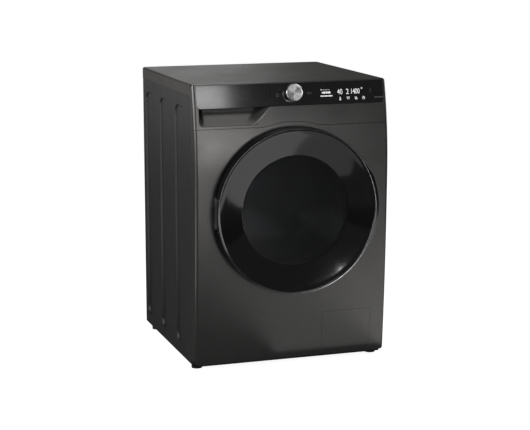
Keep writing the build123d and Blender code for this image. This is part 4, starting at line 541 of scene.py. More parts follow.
# %% Rubber, plastic and concrete
grey_rubber = plain("grey_rubber", (0.145, 0.145, 0.15), (0.175, 0.175, 0.18), 0.0, 0.55, 600, 0.00004)
black_rubber = plain("black_rubber", (0.015, 0.015, 0.015), (0.03, 0.03, 0.03), 0.0, 0.62, 300, 0.00008)
tub_plastic = plain("tub_plastic", (0.50, 0.50, 0.49), (0.60, 0.60, 0.59), 0.0, 0.48, 80, 0.00005)
pale_plastic = plain("pale_plastic", (0.62, 0.62, 0.61), (0.74, 0.74, 0.73), 0.0, 0.38, 200, 0.00003)
concrete = plain("concrete", (0.26, 0.25, 0.24), (0.42, 0.41, 0.39), 0.0, 0.85, 130, 0.0006)
print("finishes so far:", len(bpy.data.materials))

# %% [markdown]
# ## Dressing the solids
# Most of the works are right in shape already and only need a finish. They could all be copied and
# smoothed, but their facets are hardly ever seen. One line a finish says which of them take it.

# %% Dress the solids
dressed = []


def dress(finish, *names):
    """Gives solids a finish."""
    for name in names:
        solids[name].data.materials.clear()
        solids[name].data.materials.append(finish)
        dressed.append(name)


dress(zinc, "rear_panel", "rear_service_cover", "top_braces")
dress(steel, "foot_locknuts", "damper_rods", "suspension_springs", "heater", "drum_bearings")
dress(steel, "cabinet_screws", "door_hinge_pin", "motor_rotor")
dress(hinge_metal, "door_hinge_bracket", "door_hinge_leaf", "door_hook", "damper_cylinders")
dress(cast_alloy, "motor_housing", "drum_spider", "drum_pulley")
dress(black_rubber, "drive_belt", "sump_hose", "shaft_seal")
dress(grey_rubber, "fill_hose")
dress(black_plastic, "door_lock", "drain_pump", "mains_gland", "display_board")
dress(black_plastic, "door_back_frame", "filter_cap", "base_tray")
dress(pale_plastic, "drawer_housing", "drawer_box", "siphon_cap")
dress(pale_plastic, "inlet_valve", "drain_pipe", "pump_impeller")
dress(tub_plastic, "tub_front", "tub_rear")
dress(concrete, "counterweight_front", "counterweight_top")
print("dressed:", len(dressed), "of", len(solids), "solids")

# %% [markdown]
# ## Casing
# The casing is folded and moulded from thin sheet, and its bowed front mirrors the room as one smooth
# sweep. The solids are loose triangles, which would mirror it in facets. They could be modelled again
# from nothing, but their shape is right. So a copy with its doubles merged stands for each, and is shaded
# smoothly up to an angle. A weighted normal lets the large faces lead, so flat places stay flat beside a
# rounding.

# %% Smooth copies of the solids
SAME_POINT = 0.00001  # metres between points that count as one
SAME_PLANE = 0.05  # degrees between faces that count as flat


def only(piece):
    """Selects one piece alone and makes it the active one."""
    bpy.ops.object.select_all(action="DESELECT")
    piece.select_set(True)
    bpy.context.view_layer.objects.active = piece


def apply_all(piece):
    """Applies every modifier of a piece."""
    only(piece)
    for modifier in list(piece.modifiers):
        bpy.ops.object.modifier_apply(modifier=modifier.name)


def shade(piece, angle):
    """Smooth shading up to an angle, with large faces leading the normals, applied."""
    only(piece)
    bpy.ops.mesh.customdata_custom_splitnormals_clear()
    bpy.ops.object.shade_smooth_by_angle(angle=math.radians(angle))
    weigh = piece.modifiers.new("weigh", "WEIGHTED_NORMAL")
    weigh.keep_sharp = True
    apply_all(piece)


def skin(node, name, finish, angle=32.0, edge=0.0, stretch=None):
    """A smooth copy that stands for a solid. With stretch, it stays where it lies and joins no body; the
    two ends in stretch are not used.
    """
    piece = bpy.data.objects.new(name, solids[node].data.copy())
    bpy.context.scene.collection.objects.link(piece)
    only(piece)
    bpy.ops.mesh.customdata_custom_splitnormals_clear()
    bpy.ops.object.mode_set(mode="EDIT")
    bpy.ops.mesh.select_all(action="SELECT")
    bpy.ops.mesh.remove_doubles(threshold=SAME_POINT)
    bpy.ops.mesh.dissolve_limited(angle_limit=math.radians(SAME_PLANE))
    bpy.ops.object.mode_set(mode="OBJECT")
    if edge:
        bevel = piece.modifiers.new("edge", "BEVEL")
        bevel.width = edge
        bevel.segments = 2
        bevel.limit_method = "ANGLE"
        bevel.angle_limit = math.radians(angle)
        apply_all(piece)
    shade(piece, angle)
    piece.data.materials.clear()
    piece.data.materials.append(finish)
    if stretch:
        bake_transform(piece)
    else:
        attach(piece, solids[node]["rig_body"])
    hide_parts(node)
    print(name, "stands for", node, "with", len(piece.data.polygons), "faces")
    return piece


front_skin = skin("front_panel", "front_sheet", front_paint)
fascia_skin = skin("console_fascia", "fascia_shell", front_paint)
for side in ("left", "right"):
    skin("side_panel_" + side, "side_sheet_" + side, side_paint, angle=20)
skin("worktop", "lid", lid_grain)
flap_skin = skin("filter_flap", "service_flap", front_paint)

# %% [markdown]
# ### Upright corners
# Where the front meets the sides, the sheet turns on a radius of a centimetre, and that narrow rounding
# draws a bright line from top to bottom. A mesh that follows a rounding along a bow has long thin faces
# that step in and out, and the line comes out broken. A bevel would need a sharp edge to start from.
# Instead, planes cut the corner into even rows and columns, and each outer point is laid on the true
# radius.

# %% Rows and columns for a corner
CORNER_ANGLES = (9, 20, 32, 45, 58, 72)
SHEET_ROWS = [0.04 + 0.03 * k for k in range(23)]  # heights of the rows
FASCIA_ROWS = [0.735 + 0.012 * k for k in range(9)] + [cad_high.z - 0.010, cad_high.z - 0.004]
FRONT_CORNER = 0.010
FACES_OUT = 0.3  # how much of a face's direction must point outwards


def cut(piece, across, up):
    """Cuts a piece's faces along upright planes on both sides and along level planes."""
    only(piece)
    bpy.ops.object.mode_set(mode="EDIT")
    for x in [side * place for place in across for side in (-1, 1)]:
        bpy.ops.mesh.select_all(action="SELECT")
        bpy.ops.mesh.bisect(plane_co=(x, 0, 0), plane_no=(1, 0, 0))
    for z in up:
        bpy.ops.mesh.select_all(action="SELECT")
        bpy.ops.mesh.bisect(plane_co=(0, 0, z), plane_no=(0, 0, 1))
    bpy.ops.object.mode_set(mode="OBJECT")


def round_corner(piece):
    """Lays every outer point of the upright corners on their true radius."""
    laid = 0
    shape = bmesh.new()
    shape.from_mesh(piece.data)
    for vertex in shape.verts:
        x, y, z = vertex.co
        over = abs(x) - half_width + FRONT_CORNER
        ahead = front_depth(z) + FRONT_CORNER - y
        if over <= 0 or ahead <= 0:
            continue
        outward = Vector((math.copysign(over, x), -ahead, 0)).normalized()
        if any(face.normal.dot(outward) > FACES_OUT for face in vertex.link_faces):
            beside = math.copysign(half_width - FRONT_CORNER, x)
            vertex.co = Vector((beside, front_depth(z) + FRONT_CORNER, z)) + outward * FRONT_CORNER
            laid += 1
    shape.to_mesh(piece.data)
    shape.free()
    print(piece.name, "corner points:", laid)


corner_columns = [half_width - FRONT_CORNER * (1 - math.sin(math.radians(a))) for a in CORNER_ANGLES]
for piece, rows in ((front_skin, SHEET_ROWS), (fascia_skin, FASCIA_ROWS)):
    cut(piece, corner_columns, rows)
    round_corner(piece)

# %% [markdown]
# The fascia's two top corners are rounded too, seen from the front. A bevel there would run into the
# upright rounding and leave a spike. It is enough to push down every point that stands above the arc.

# %% Top corners of the fascia
TOP_CORNER = 0.010
pushed = 0
for vertex in fascia_skin.data.vertices:
    over = abs(vertex.co.x) - half_width + TOP_CORNER
    if over > 0 and vertex.co.z > cad_high.z - TOP_CORNER:
        rise = math.sqrt(max(0.0, TOP_CORNER**2 - min(over, TOP_CORNER) ** 2))
        vertex.co.z = min(vertex.co.z, cad_high.z - TOP_CORNER + rise)
        pushed += 1
for piece in (front_skin, fascia_skin):
    shade(piece, 32)
print("top corner points:", pushed)

# %% [markdown]
# ### Service flap
# The flap closes the opening to the drain filter, with a hairline gap all round. Its solid has a wider
# gap, so that it swings freely. A slightly larger copy shows the gap that a real one has.

# %% Service flap
FLAP_WIDER, FLAP_TALLER = 1.0104, 1.0137
flap_low, flap_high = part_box("filter_flap")
only(flap_skin)
bpy.ops.object.mode_set(mode="EDIT")
bpy.ops.mesh.select_all(action="SELECT")
flap_middle = (flap_low + flap_high) / 2
bpy.ops.transform.resize(value=(FLAP_WIDER, 1.0, FLAP_TALLER), center_override=flap_middle)
bpy.ops.object.mode_set(mode="OBJECT")
print("flap wider by", round((flap_high.x - flap_low.x) * (FLAP_WIDER - 1) * 1000, 1), "mm")

# %% [markdown]
# ### Shading laid on the bow
# Even a well merged bow has faces of very different lengths, and the directions worked out from them
# ripple a little. In a nearly mirror-like paint the ripple shows as bands. More faces would make it
# finer, not remove it. The true direction is known at every point, from the two arcs and the corner's
# radius, so it is written into the mesh wherever a point lies on the outer front.

# %% Shading laid on the bow
ON_THE_BOW = 0.0004  # metres from the true front
FACES_AHEAD = 0.5  # how much of a face's direction must agree with the bow's


def corner_share(x):
    """How far round the upright corner a place lies: 0 where the front is straight, 1 at the side."""
    return min(1.0, max(0.0, (abs(x) - half_width + FRONT_CORNER) / FRONT_CORNER))


def bowed_normal(point):
    """The direction that the casing's front faces at a point, round the upright corner as well."""
    bow = UPPER_BOW if point.z > BULGE_Z else LOWER_BOW
    lean = math.asin((point.z - BULGE_Z) / bow)
    turn = corner_share(point.x)
    ahead = Vector((0, -math.cos(lean), math.sin(lean))) * math.sqrt(1 - turn**2)
    return ahead + Vector((math.copysign(turn, point.x), 0, 0))


def off_the_bow(point):
    """Distance of a point from the casing's outer front."""
    inward = point.y - front_depth(point.z)
    over = abs(point.x) - half_width + FRONT_CORNER
    if over <= 0:
        return abs(inward)
    return abs(math.hypot(over, min(0.0, inward - FRONT_CORNER)) - FRONT_CORNER)


def lay_shading(piece):
    """Gives the corners of faces on the outer front the true direction of the bow."""
    mesh = piece.data
    directions = [corner.vector.copy() for corner in mesh.corner_normals]
    laid = 0
    for face in mesh.polygons:
        for index in face.loop_indices:
            point = mesh.vertices[mesh.loops[index].vertex_index].co
            true = bowed_normal(point)
            if off_the_bow(point) < ON_THE_BOW and true.dot(face.normal) > FACES_AHEAD:
                directions[index] = true
                laid += 1
    mesh.normals_split_custom_set(directions)
    print(piece.name, "corners laid on the bow:", laid)


for piece in (front_skin, fascia_skin, flap_skin):
    lay_shading(piece)

# %% [markdown]
# ## Console and drawer front
# The console is a gloss black strip let into the painted fascia. Its left part is glued on the drawer
# front and comes out with it. Both strips are moulded, with a small rounding on their edges, which a
# bevel gives a copy of the solid. The painted drawer front below the strip is another copy.

# %% Console strip and drawer front
STRIP_EDGE = 0.0007
panel_skin = skin("control_panel", "console_strip", panel_gloss, edge=STRIP_EDGE)
trim_skin = skin("drawer_trim", "drawer_strip", panel_gloss, edge=STRIP_EDGE)
drawer_skin = skin("drawer_front", "drawer_scoop", front_paint)
for piece in (panel_skin, trim_skin, drawer_skin):
    lay_shading(piece)

# %% [markdown]
# ### Finger scoop
# The drawer is pulled by a hollow under the strip. On the real front it is one smooth dish: nothing at
# its foot, deepest behind the strip, running out gently at the left and in a long slant at the right. The
# solid has a plain walled pocket there. Smoothing that would only blur its corners. So the pocket's walls
# are taken out of the copy, and a grid bent to a formula is put in their place.

# %% Outline of the scoop
SCOOP_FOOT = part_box("drawer_front")[0].z
SCOOP_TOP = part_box("drawer_trim")[0].z
SCOOP_TALL = SCOOP_TOP - SCOOP_FOOT
SCOOP_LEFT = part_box("drawer_front")[0].x
SCOOP_RIGHT_FOOT = SCOOP_LEFT + 0.1737
SCOOP_RIGHT_TOP = SCOOP_LEFT + 0.2167
SCOOP_CORNER = 0.0105
RIGHT_CORNER_SHARE = 0.8  # the slanted corner draws in less than the upright one


def scoop_edges(height):
    """Left and right end of the scoop at a height above its foot."""
    low = max(0.0, SCOOP_CORNER - height)
    inset = SCOOP_CORNER - math.sqrt(SCOOP_CORNER**2 - low**2)
    right = SCOOP_RIGHT_FOOT + (SCOOP_RIGHT_TOP - SCOOP_RIGHT_FOOT) * height / SCOOP_TALL
    return SCOOP_LEFT + inset, right - inset * RIGHT_CORNER_SHARE


print("scoop", round(SCOOP_TALL * 1000, 1), "mm tall")

# %% [markdown]
# The walls of the pocket are found by where they lie and how they face: within the scoop's outline, no
# deeper than the pocket, and not part of the drawer front's own edges, back or underside. They could be
# picked by their numbers, but those change whenever the solid is built again.

# %% Pocket taken out
POCKET_DEPTH = 0.0385
HAIR = 0.0003
LEFT_EDGE, RIGHT_EDGE = 0.0008, 0.0012
only(drawer_skin)
bpy.ops.object.mode_set(mode="EDIT")
bpy.ops.mesh.select_mode(type="FACE")
bpy.ops.mesh.select_all(action="DESELECT")
shape = bmesh.from_edit_mesh(drawer_skin.data)
for face in shape.faces:
    middle = face.calc_center_median()
    inside = SCOOP_FOOT + HAIR < middle.z < SCOOP_TOP + HAIR
    inside = inside and middle.y - front_depth(middle.z) < POCKET_DEPTH
    left, right = scoop_edges(max(0.0, middle.z - SCOOP_FOOT))
    beside = middle.x < left + LEFT_EDGE or (middle.x > right - RIGHT_EDGE and face.normal.x > 0)
    face.select = inside and not beside and face.normal.y < 0.5 and face.normal.z > -0.9
print("faces opened for the scoop:", sum(f.select for f in shape.faces))
bmesh.update_edit_mesh(drawer_skin.data)
bpy.ops.mesh.delete(type="FACE")
bpy.ops.object.mode_set(mode="OBJECT")

# %% [markdown]
# The dish is a flat grid whose points are moved by a formula. Its depth is a product: a quarter wave from
# the foot to the top, and a soft run-out at each side. The last rows go on upwards behind the strip, so
# that no edge shows from below. Sculpting could give the same shape once, but a formula gives it again at
# any size.

# %% Scoop bent from a grid
SCOOP_DEPTH = 0.021
DISH_ROWS = 0.82  # share of the grid that is the dish
DISH_POWER = 1.1
LEFT_RUN, RIGHT_RUN = 0.016, 0.042  # lengths over which the dish runs out
ROOF_RISE, ROOF_DEPTH, ROOF_START = 0.0215, 0.012, 0.0065


def ease(share):
    """A soft step from 0 to 1."""
    share = min(1.0, max(0.0, share))
    return share * share * (3 - 2 * share)


def scoop_point(across, up):
    """Place of a point of the scoop, its shares across and up from 0 to 1."""
    share = min(1.0, up / DISH_ROWS)
    left, right = scoop_edges(SCOOP_TALL * share)
    x = left + (right - left) * across
    z = SCOOP_FOOT + SCOOP_TALL * share
    hollow = SCOOP_DEPTH * math.sin(share * math.pi / 2) ** DISH_POWER
    hollow *= ease((x - left) / LEFT_RUN) * ease((right - x) / RIGHT_RUN)
    if up > DISH_ROWS:
        beyond = (up - DISH_ROWS) / (1 - DISH_ROWS)
        z += ROOF_RISE * beyond
        hollow = max(hollow, ROOF_START) + ROOF_DEPTH * beyond
    return x, front_depth(z) + hollow, z


bpy.ops.object.select_all(action="DESELECT")
bpy.ops.mesh.primitive_grid_add(x_subdivisions=56, y_subdivisions=28, size=1, location=(0, 0, 0))
scoop = bpy.context.object
scoop.name = "finger_scoop"
for vertex in scoop.data.vertices:
    vertex.co = scoop_point(vertex.co.x + 0.5, vertex.co.y + 0.5)
print("scoop bent from", len(scoop.data.polygons), "faces")

# %% [markdown]
# A single sheet of faces has no thickness, and its edge shows as soon as the drawer is out. Solidify
# gives it a wall of a little over a millimetre, as the moulded drawer front has. The wall grows
# backwards, away from the fingers, so the sheet has to face forwards first.

# %% Wall of the scoop
only(scoop)
bpy.ops.object.mode_set(mode="EDIT")
bpy.ops.mesh.select_all(action="SELECT")
bpy.ops.mesh.normals_make_consistent(inside=False)
bpy.ops.object.mode_set(mode="OBJECT")
if scoop.data.polygons[0].normal.y > 0:
    scoop.data.flip_normals()
wall = scoop.modifiers.new("wall", "SOLIDIFY")
wall.thickness = 0.0012
wall.offset = -1
apply_all(scoop)
shade(scoop, 40)
scoop.data.materials.append(front_paint)
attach(scoop, "drawer")
print(scoop.name, len(scoop.data.polygons), "faces with its wall")

# %% [markdown]
# ## Door
# The door's outer ring is a wide cone of polished plastic that falls in from the rim to the window. The
# solid's cone sags a little between them, and mirrors the lamps as a bent streak. The whole ring could be
# turned anew, but its grip and its back fit the frame. So only the points on the cone are moved, in the
# copy, and every other one stays.

# %% Door ring
CONE_OUT, CONE_IN = Vector((0.2381, 0.0430)), Vector((0.1650, 0.0175))  # radius and height
CONE_SAG = 0.0040
CONE_LIFT = 0.0045
ON_THE_CONE = 0.0012
ring_skin = skin("door_outer_ring", "door_ring", door_gloss)
moved = 0
for vertex in ring_skin.data.vertices:
    radius = math.hypot(vertex.co.x, vertex.co.z - axis_z)
    share = (radius - CONE_IN.x) / (CONE_OUT.x - CONE_IN.x)
    if not 0 < share < 1:
        continue
    hump = 4 * share * (1 - share)
    sagging = CONE_IN.y + (CONE_OUT.y - CONE_IN.y) * share - CONE_SAG * hump
    if abs(front_y - vertex.co.y - sagging) < ON_THE_CONE:
        vertex.co.y -= CONE_LIFT * hump
        moved += 1
shade(ring_skin, 32)
print("cone points straightened:", moved)

# %% [markdown]
# ### Turned pieces
# The bright ring, the window and the dial are all round, so each is one outline spun about an axis. A
# cylinder with bevels could give a plain one, but not these, whose outlines change slope many times. The
# outline is drawn point by point, by extruding a single vertex along it, and then spun. Afterwards it
# stands on the Z axis and is settled where it belongs.

# %% Turning
SAME_TURNED_POINT = 0.000002  # metres


def turned(name, profile, steps):
    """A line of (radius, height) points drawn vertex by vertex and spun round the Z axis."""
    bpy.ops.object.select_all(action="DESELECT")
    bpy.ops.mesh.primitive_plane_add(size=0.001, location=(0, 0, 0))
    piece = bpy.context.object
    piece.name = name
    bpy.ops.object.mode_set(mode="EDIT")
    bpy.ops.mesh.select_mode(type="VERT")
    bpy.ops.mesh.select_all(action="SELECT")
    bpy.ops.mesh.merge(type="CENTER")
    radius, height = profile[0]
    bpy.ops.transform.translate(value=(radius, 0, height))
    for next_radius, next_height in profile[1:]:
        step = (next_radius - radius, 0, next_height - height)
        bpy.ops.mesh.extrude_region_move(TRANSFORM_OT_translate={"value": step})
        radius, height = next_radius, next_height
    bpy.ops.mesh.select_all(action="SELECT")
    bpy.ops.mesh.spin(steps=steps, angle=2 * math.pi, center=(0, 0, 0), axis=(0, 0, 1))
    bpy.ops.mesh.select_all(action="SELECT")
    bpy.ops.mesh.remove_doubles(threshold=SAME_TURNED_POINT)
    bpy.ops.mesh.normals_make_consistent(inside=False)
    bpy.ops.object.mode_set(mode="OBJECT")
    print(name, "turned from", len(profile), "points,", len(piece.data.polygons), "faces")
    return piece


def settle(piece, place, turn):
    """Moves and turns a piece, then puts that place into its mesh."""
    only(piece)
    piece.location = place
    piece.rotation_euler = turn
    bpy.ops.object.transform_apply(location=True, rotation=True, scale=True)


def place_on_door(piece):
    """Heights of a turned piece become distances in front of the front sheet, on the drum's axis."""
    settle(piece, (0, front_y, axis_z), (math.pi / 2, 0, 0))


def hand_over(piece, finish, body, node):
    """Gives a new piece its finish and its body, and hides the solid that it stands for."""
    piece.data.materials.clear()
    piece.data.materials.append(finish)
    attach(piece, body)
    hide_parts(node)


print("helpers:", turned.__name__, settle.__name__, place_on_door.__name__, hand_over.__name__)

# %% [markdown]
# ### Bright ring
# A polished ring is let into the door's rim. It isn't flat: its face slopes in and both its edges are
# rounded, and only that makes it catch the light in some places of its round and not in others.

# %% Bright ring
profile = [(0.2397, 0.0430), (0.2448, 0.0430), (0.2448, 0.0443), (0.2446, 0.0446), (0.2442, 0.0447)]
profile += [(0.2403, 0.0437), (0.2399, 0.0435), (0.2397, 0.0433), (0.2397, 0.0430)]
trim_ring = turned("door_bright_ring", profile, 160)
place_on_door(trim_ring)
shade(trim_ring, 40)
hand_over(trim_ring, bright_ring, "door", "door_trim_ring")
print(trim_ring.name, round(trim_ring.dimensions.x * 1000), "mm across")

# %% [markdown]
# ### Window and bowl
# The window is a smoked disc let into the cone. A flat one would mirror a single spot of the room all
# over. Its face is hollowed very slightly, which spreads that into a soft gradient, and the hollow is a
# parabola worked out at a few radii. Behind it is the clear bowl that reaches into the drum, a smooth
# copy of its solid.

# %% Window and bowl
WINDOW_RADIUS = 0.164
WINDOW_FLANGE = 0.172
WINDOW_RIM = 0.0174
WINDOW_HOLLOW = 0.0045
profile = [(0, 0.0110), (WINDOW_FLANGE, 0.0110), (WINDOW_FLANGE, 0.0136), (WINDOW_RADIUS, 0.0138)]
for share in (1.0, 0.97, 0.9, 0.8, 0.65, 0.5, 0.35, 0.2, 0.08, 0.0):
    profile.append((WINDOW_RADIUS * share, WINDOW_RIM - WINDOW_HOLLOW * (1 - share**2)))
window = turned("door_glass", profile, 128)
place_on_door(window)
shade(window, 30)
hand_over(window, smoked_glass, "door", "door_window")
skin("door_glass_bowl", "door_bowl", clear_glass)
print("window", round(window.dimensions.x * 1000), "mm across")

# %% [markdown]
# ### Gasket
# The gasket is a grey rubber bellows from the front sheet's opening to the tub. The tub bounces on its
# springs and the sheet doesn't, so the rubber gives. A gasket that rode on either one would cut through
# the other. So its copy rides on neither: it joins no body and stays where it lies. Its two ends are
# worked out, but nothing here uses them.

# %% Gasket
GASKET_END = 0.012  # length at each end, where the rubber would be held
low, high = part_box("door_gasket")
front_end = (0, low.y + GASKET_END, axis_z)
back_end = (0, high.y - GASKET_END, axis_z)
skin("door_gasket", "gasket", grey_rubber, stretch=(front_end, back_end))
print("gasket stretches over", round((back_end[1] - front_end[1]) * 1000), "mm")

# %% [markdown]
# ## Drum
# The drum is rolled from perforated steel, with thousands of small holes in staggered rows. Cutting them
# out would take well over a hundred thousand faces. They are drawn as dark dots of painted shade in the
# finish instead, as dark as the unlit space seen through a hole: the angle round the axis and the depth
# along it give each point a column and a row, every second row is shifted by half a hole, and what lies
# near the middle of its cell is a hole. The drum's back wall has none.

# %% Perforated steel
HOLE_PITCH = 0.013
HOLE_RADIUS = 0.0017
# painted shade: the dark seen through each hole, drawn as a dot
HOLE_SHADE_TONE = (0.006, 0.006, 0.006, 1)
WALL = 0.004
ABOVE_ZERO = 400  # keeps columns and rows positive; even, so that the stagger stays
drum_radius = (drum_high.x - drum_low.x) / 2
perforated = plain("perforated_steel", (0.45, 0.45, 0.46), (0.52, 0.52, 0.53), 1.0, 0.30, 420)
tree = perforated.node_tree


def distance(first, second):
    """The length of the diagonal of two measures."""
    both = (reckon(tree, "MULTIPLY", first, first), reckon(tree, "MULTIPLY", second, second))
    return reckon(tree, "SQRT", reckon(tree, "ADD", *both))


spot = tree.nodes.new("ShaderNodeTexCoord")
axes = tree.nodes.new("ShaderNodeSeparateXYZ")
tree.links.new(spot.outputs["Object"], axes.inputs[0])
beside, deep = axes.outputs["X"], axes.outputs["Y"]
upward = reckon(tree, "SUBTRACT", axes.outputs["Z"], axis_z)
columns = round(2 * math.pi * drum_radius / HOLE_PITCH)
column = reckon(tree, "MULTIPLY", reckon(tree, "ARCTAN2", beside, upward), columns / (2 * math.pi))
row = reckon(tree, "DIVIDE", deep, HOLE_PITCH)
odd = reckon(tree, "FLOOR", reckon(tree, "MODULO", reckon(tree, "ADD", row, ABOVE_ZERO), 2))
shifted = reckon(tree, "ADD", column, reckon(tree, "MULTIPLY", odd, 0.5))
across = reckon(tree, "SUBTRACT", reckon(tree, "FRACT", reckon(tree, "ADD", shifted, ABOVE_ZERO)), 0.5)
along = reckon(tree, "SUBTRACT", reckon(tree, "FRACT", row), 0.5)
near_middle = reckon(tree, "LESS_THAN", distance(across, along), HOLE_RADIUS / HOLE_PITCH)
on_wall = reckon(tree, "GREATER_THAN", distance(upward, beside), drum_radius - WALL)
print("drum holes:", columns, "in a ring,", round(HOLE_PITCH * 1000), "mm apart")

# %% Holes of painted shade over the steel
surface = tree.nodes["Principled BSDF"]
hole_shade = tree.nodes.new("ShaderNodeMix")
hole_shade.data_type = "RGBA"
hole_shade.inputs["B"].default_value = HOLE_SHADE_TONE
tree.links.new(reckon(tree, "MULTIPLY", near_middle, on_wall), hole_shade.inputs["Factor"])
tree.links.new(surface.inputs["Base Color"].links[0].from_socket, hole_shade.inputs["A"])
tree.links.new(hole_shade.outputs["Result"], surface.inputs["Base Color"])
print("finish:", perforated.name)

# %% [markdown]
# ## Springs, sump boot and drum
# The tub hangs on coil springs from the cabinet, and a rubber boot joins it to the drain pump. Both cross
# the same gap as the gasket, so their copies are made in the same way: they join no body and stay where
# they lie, and the ends worked out for them are not used. The drum and its lifters turn with the drum's
# body and only need smooth copies.

# %% Springs, sump boot and drum
HELD_END = 0.01
low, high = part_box("suspension_springs")
hung = ((0, 0, high.z - HELD_END), (0, 0, low.z + HELD_END))
skin("suspension_springs", "springs", steel, stretch=hung)
low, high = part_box("sump_hose")
stood = ((0, 0, low.z + HELD_END), (0, 0, high.z - HELD_END))
skin("sump_hose", "sump_boot", black_rubber, stretch=stood)
skin("drum", "drum_shell", perforated)
skin("drum_lifters", "lifters", steel)
print("springs stretch over", round((hung[0][2] - hung[1][2]) * 1000), "mm")

# %% [markdown]
# ## Dial
# The dial is a turned alloy cup: a dark collar at the panel, a smooth side, a bright chamfer, and a spun
# face that is very slightly dished. It could be a few cylinders stacked up, but the chamfer and the dish
# would show their seams. One outline spun round has none, and its faces get their finish by where they
# lie. The dial's axis leans up, square to the bowed panel.

# %% Dial
DIAL_TOP = 0.0194
COLLAR_TOP, SIDE_TOP = 0.0034, 0.0180
FACE_RADIUS = 0.0228
profile = [(0, 0.0008), (0.0252, 0.0008), (0.0252, 0.0030), (0.0262, 0.0034), (0.0266, 0.0042)]
profile += [(0.0266, 0.0060), (0.0264, 0.0100), (0.0259, 0.0150), (0.0256, 0.0176), (0.0252, 0.0186)]
profile += [(0.0244, DIAL_TOP), (0.0234, DIAL_TOP), (0.0230, 0.0191), (0.0226, 0.0188)]
profile += [(0.0180, 0.0187), (0.0120, 0.0186), (0.0060, 0.01855), (0.0020, 0.0185), (0, 0.0185)]
dial = turned("dial", profile, 128)
hand_over(dial, spun_face, "dial", "dial_knob")
for finish in (dial_rim, dial_side, black_plastic):
    dial.data.materials.append(finish)
RIM, SIDE, COLLAR = 1, 2, 3  # places in the dial's list of finishes; its face has the first
for face in dial.data.polygons:
    if face.center.z < COLLAR_TOP:
        face.material_index = COLLAR
    elif face.center.z < SIDE_TOP:
        face.material_index = SIDE
    elif math.hypot(face.center.x, face.center.y) > FACE_RADIUS:
        face.material_index = RIM
settle(dial, (DIAL_X, front_depth(DIAL_Z), DIAL_Z), (math.pi / 2 - dial_lean, 0, 0))
shade(dial, 40)
print("dial", round(dial.dimensions.x * 1000, 1), "mm across")

# %% [markdown]
# ## Marks on the console
# The strip carries lit digits, a few small signs and rows of short bars: white where a lamp lights them
# and grey where they stay in the background. They could be painted as an image on the strip, but an image
# needs a layout and turns blurred close up. They are drawn as flat faces in one mesh instead, every point
# is then laid on the bowed surface, and a very thin wall closes them, as thick ink would. All their
# places are in millimetres.

# %% Shapes to print
MM = 0.001


def start_print(name):
    """An empty mesh, open for drawing."""
    bpy.ops.object.select_all(action="DESELECT")
    bpy.ops.mesh.primitive_plane_add(size=0.001)
    sheet = bpy.context.object
    sheet.name = name
    bpy.ops.object.mode_set(mode="EDIT")
    bpy.ops.mesh.delete(type="VERT")
    return sheet


def bar(x, z, width, height):
    """A printed bar round its middle."""
    middle = (x * MM, 0, z * MM)
    bpy.ops.mesh.select_all(action="DESELECT")
    bpy.ops.mesh.primitive_plane_add(size=1.0, location=middle, rotation=(math.pi / 2, 0, 0))
    bpy.ops.transform.resize(value=(width * MM, 1, height * MM), center_override=middle)


def bars(start, z, height, gap, widths):
    """A row of bars from left to right, as words would stand."""
    for width in widths:
        bar(start + width / 2, z, width, height)
        start += width + gap


def disc(x, z, radius, corners, turn=0.0):
    """A printed disc, or with three corners an arrow head."""
    bpy.ops.mesh.select_all(action="DESELECT")
    bpy.ops.mesh.primitive_circle_add(
        vertices=corners,
        radius=radius * MM,
        fill_type="NGON",
        location=(x * MM, 0, z * MM),
        rotation=(math.pi / 2, turn, 0),
    )


def ring(x, z, radius, thick, gap=None):
    """A printed ring, open between two angles in degrees if a gap is given."""
    disc(x, z, radius, corners=36)
    bpy.ops.mesh.inset(thickness=thick * MM)
    bpy.ops.mesh.delete(type="FACE")
    if gap:
        shape = bmesh.from_edit_mesh(bpy.context.object.data)
        bpy.ops.mesh.select_all(action="DESELECT")
        for face in shape.faces:
            spot = face.calc_center_median() - Vector((x * MM, 0, z * MM))
            turn = math.degrees(math.atan2(spot.z, spot.x)) % 360
            of_this_ring = spot.length < radius * MM * 1.05
            face.select = of_this_ring and gap[0] < turn < gap[1]
        bpy.ops.mesh.delete(type="FACE")


print("shapes:", bar.__name__, bars.__name__, disc.__name__, ring.__name__)

# %% [markdown]
# The digits come from Blender's own font, made into a mesh before they are placed. A font leaves its own
# margins round a word, so each word is stretched and then moved until its ink fills the place it should.

# %% Digits and ink
PRINT_LIFT = 0.00016
PRINT_THICK = 0.00008


def span_of(piece):
    """Lowest and highest corner of a piece's mesh."""
    points = [v.co for v in piece.data.vertices]
    return [[pick(p[i] for p in points) for i in range(3)] for pick in (min, max)]


def digits(text, left, right, z, height):
    """Digits stretched to fill a box, in millimetres."""
    bpy.ops.object.select_all(action="DESELECT")
    bpy.ops.object.text_add(location=(0, 0, 0))
    word = bpy.context.object
    word.data.body = text
    word.data.align_x, word.data.align_y = "CENTER", "CENTER"
    bpy.ops.object.convert(target="MESH")
    bpy.ops.object.mode_set(mode="EDIT")
    bpy.ops.mesh.select_all(action="SELECT")
    bpy.ops.mesh.remove_doubles(threshold=0.0001)
    bpy.ops.object.mode_set(mode="OBJECT")
    word.scale = ((right - left) * MM / word.dimensions.x, height * MM / word.dimensions.y, 1)
    middle_x = (left + right) / 2 * MM
    settle(word, (middle_x, 0, z * MM), (math.pi / 2, 0, 0))
    inked = [sum(c) / 2 for c in zip(*span_of(word))]
    word.data.transform(Matrix.Translation((middle_x - inked[0], 0, z * MM - inked[2])))
    return word


def lay_print(sheet, ink):
    """Closes a print: laid on the bow, given the thickness of ink, and handed to the cabinet."""
    bpy.ops.object.mode_set(mode="OBJECT")
    for vertex in sheet.data.vertices:
        vertex.co.y = front_depth(vertex.co.z) - PRINT_LIFT
    wall = sheet.modifiers.new("ink", "SOLIDIFY")
    wall.thickness = PRINT_THICK
    wall.offset = -1
    apply_all(sheet)
    sheet.data.materials.clear()
    sheet.data.materials.append(ink)
    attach(sheet, "cabinet")
    print(sheet.name, len(sheet.data.polygons), "faces")


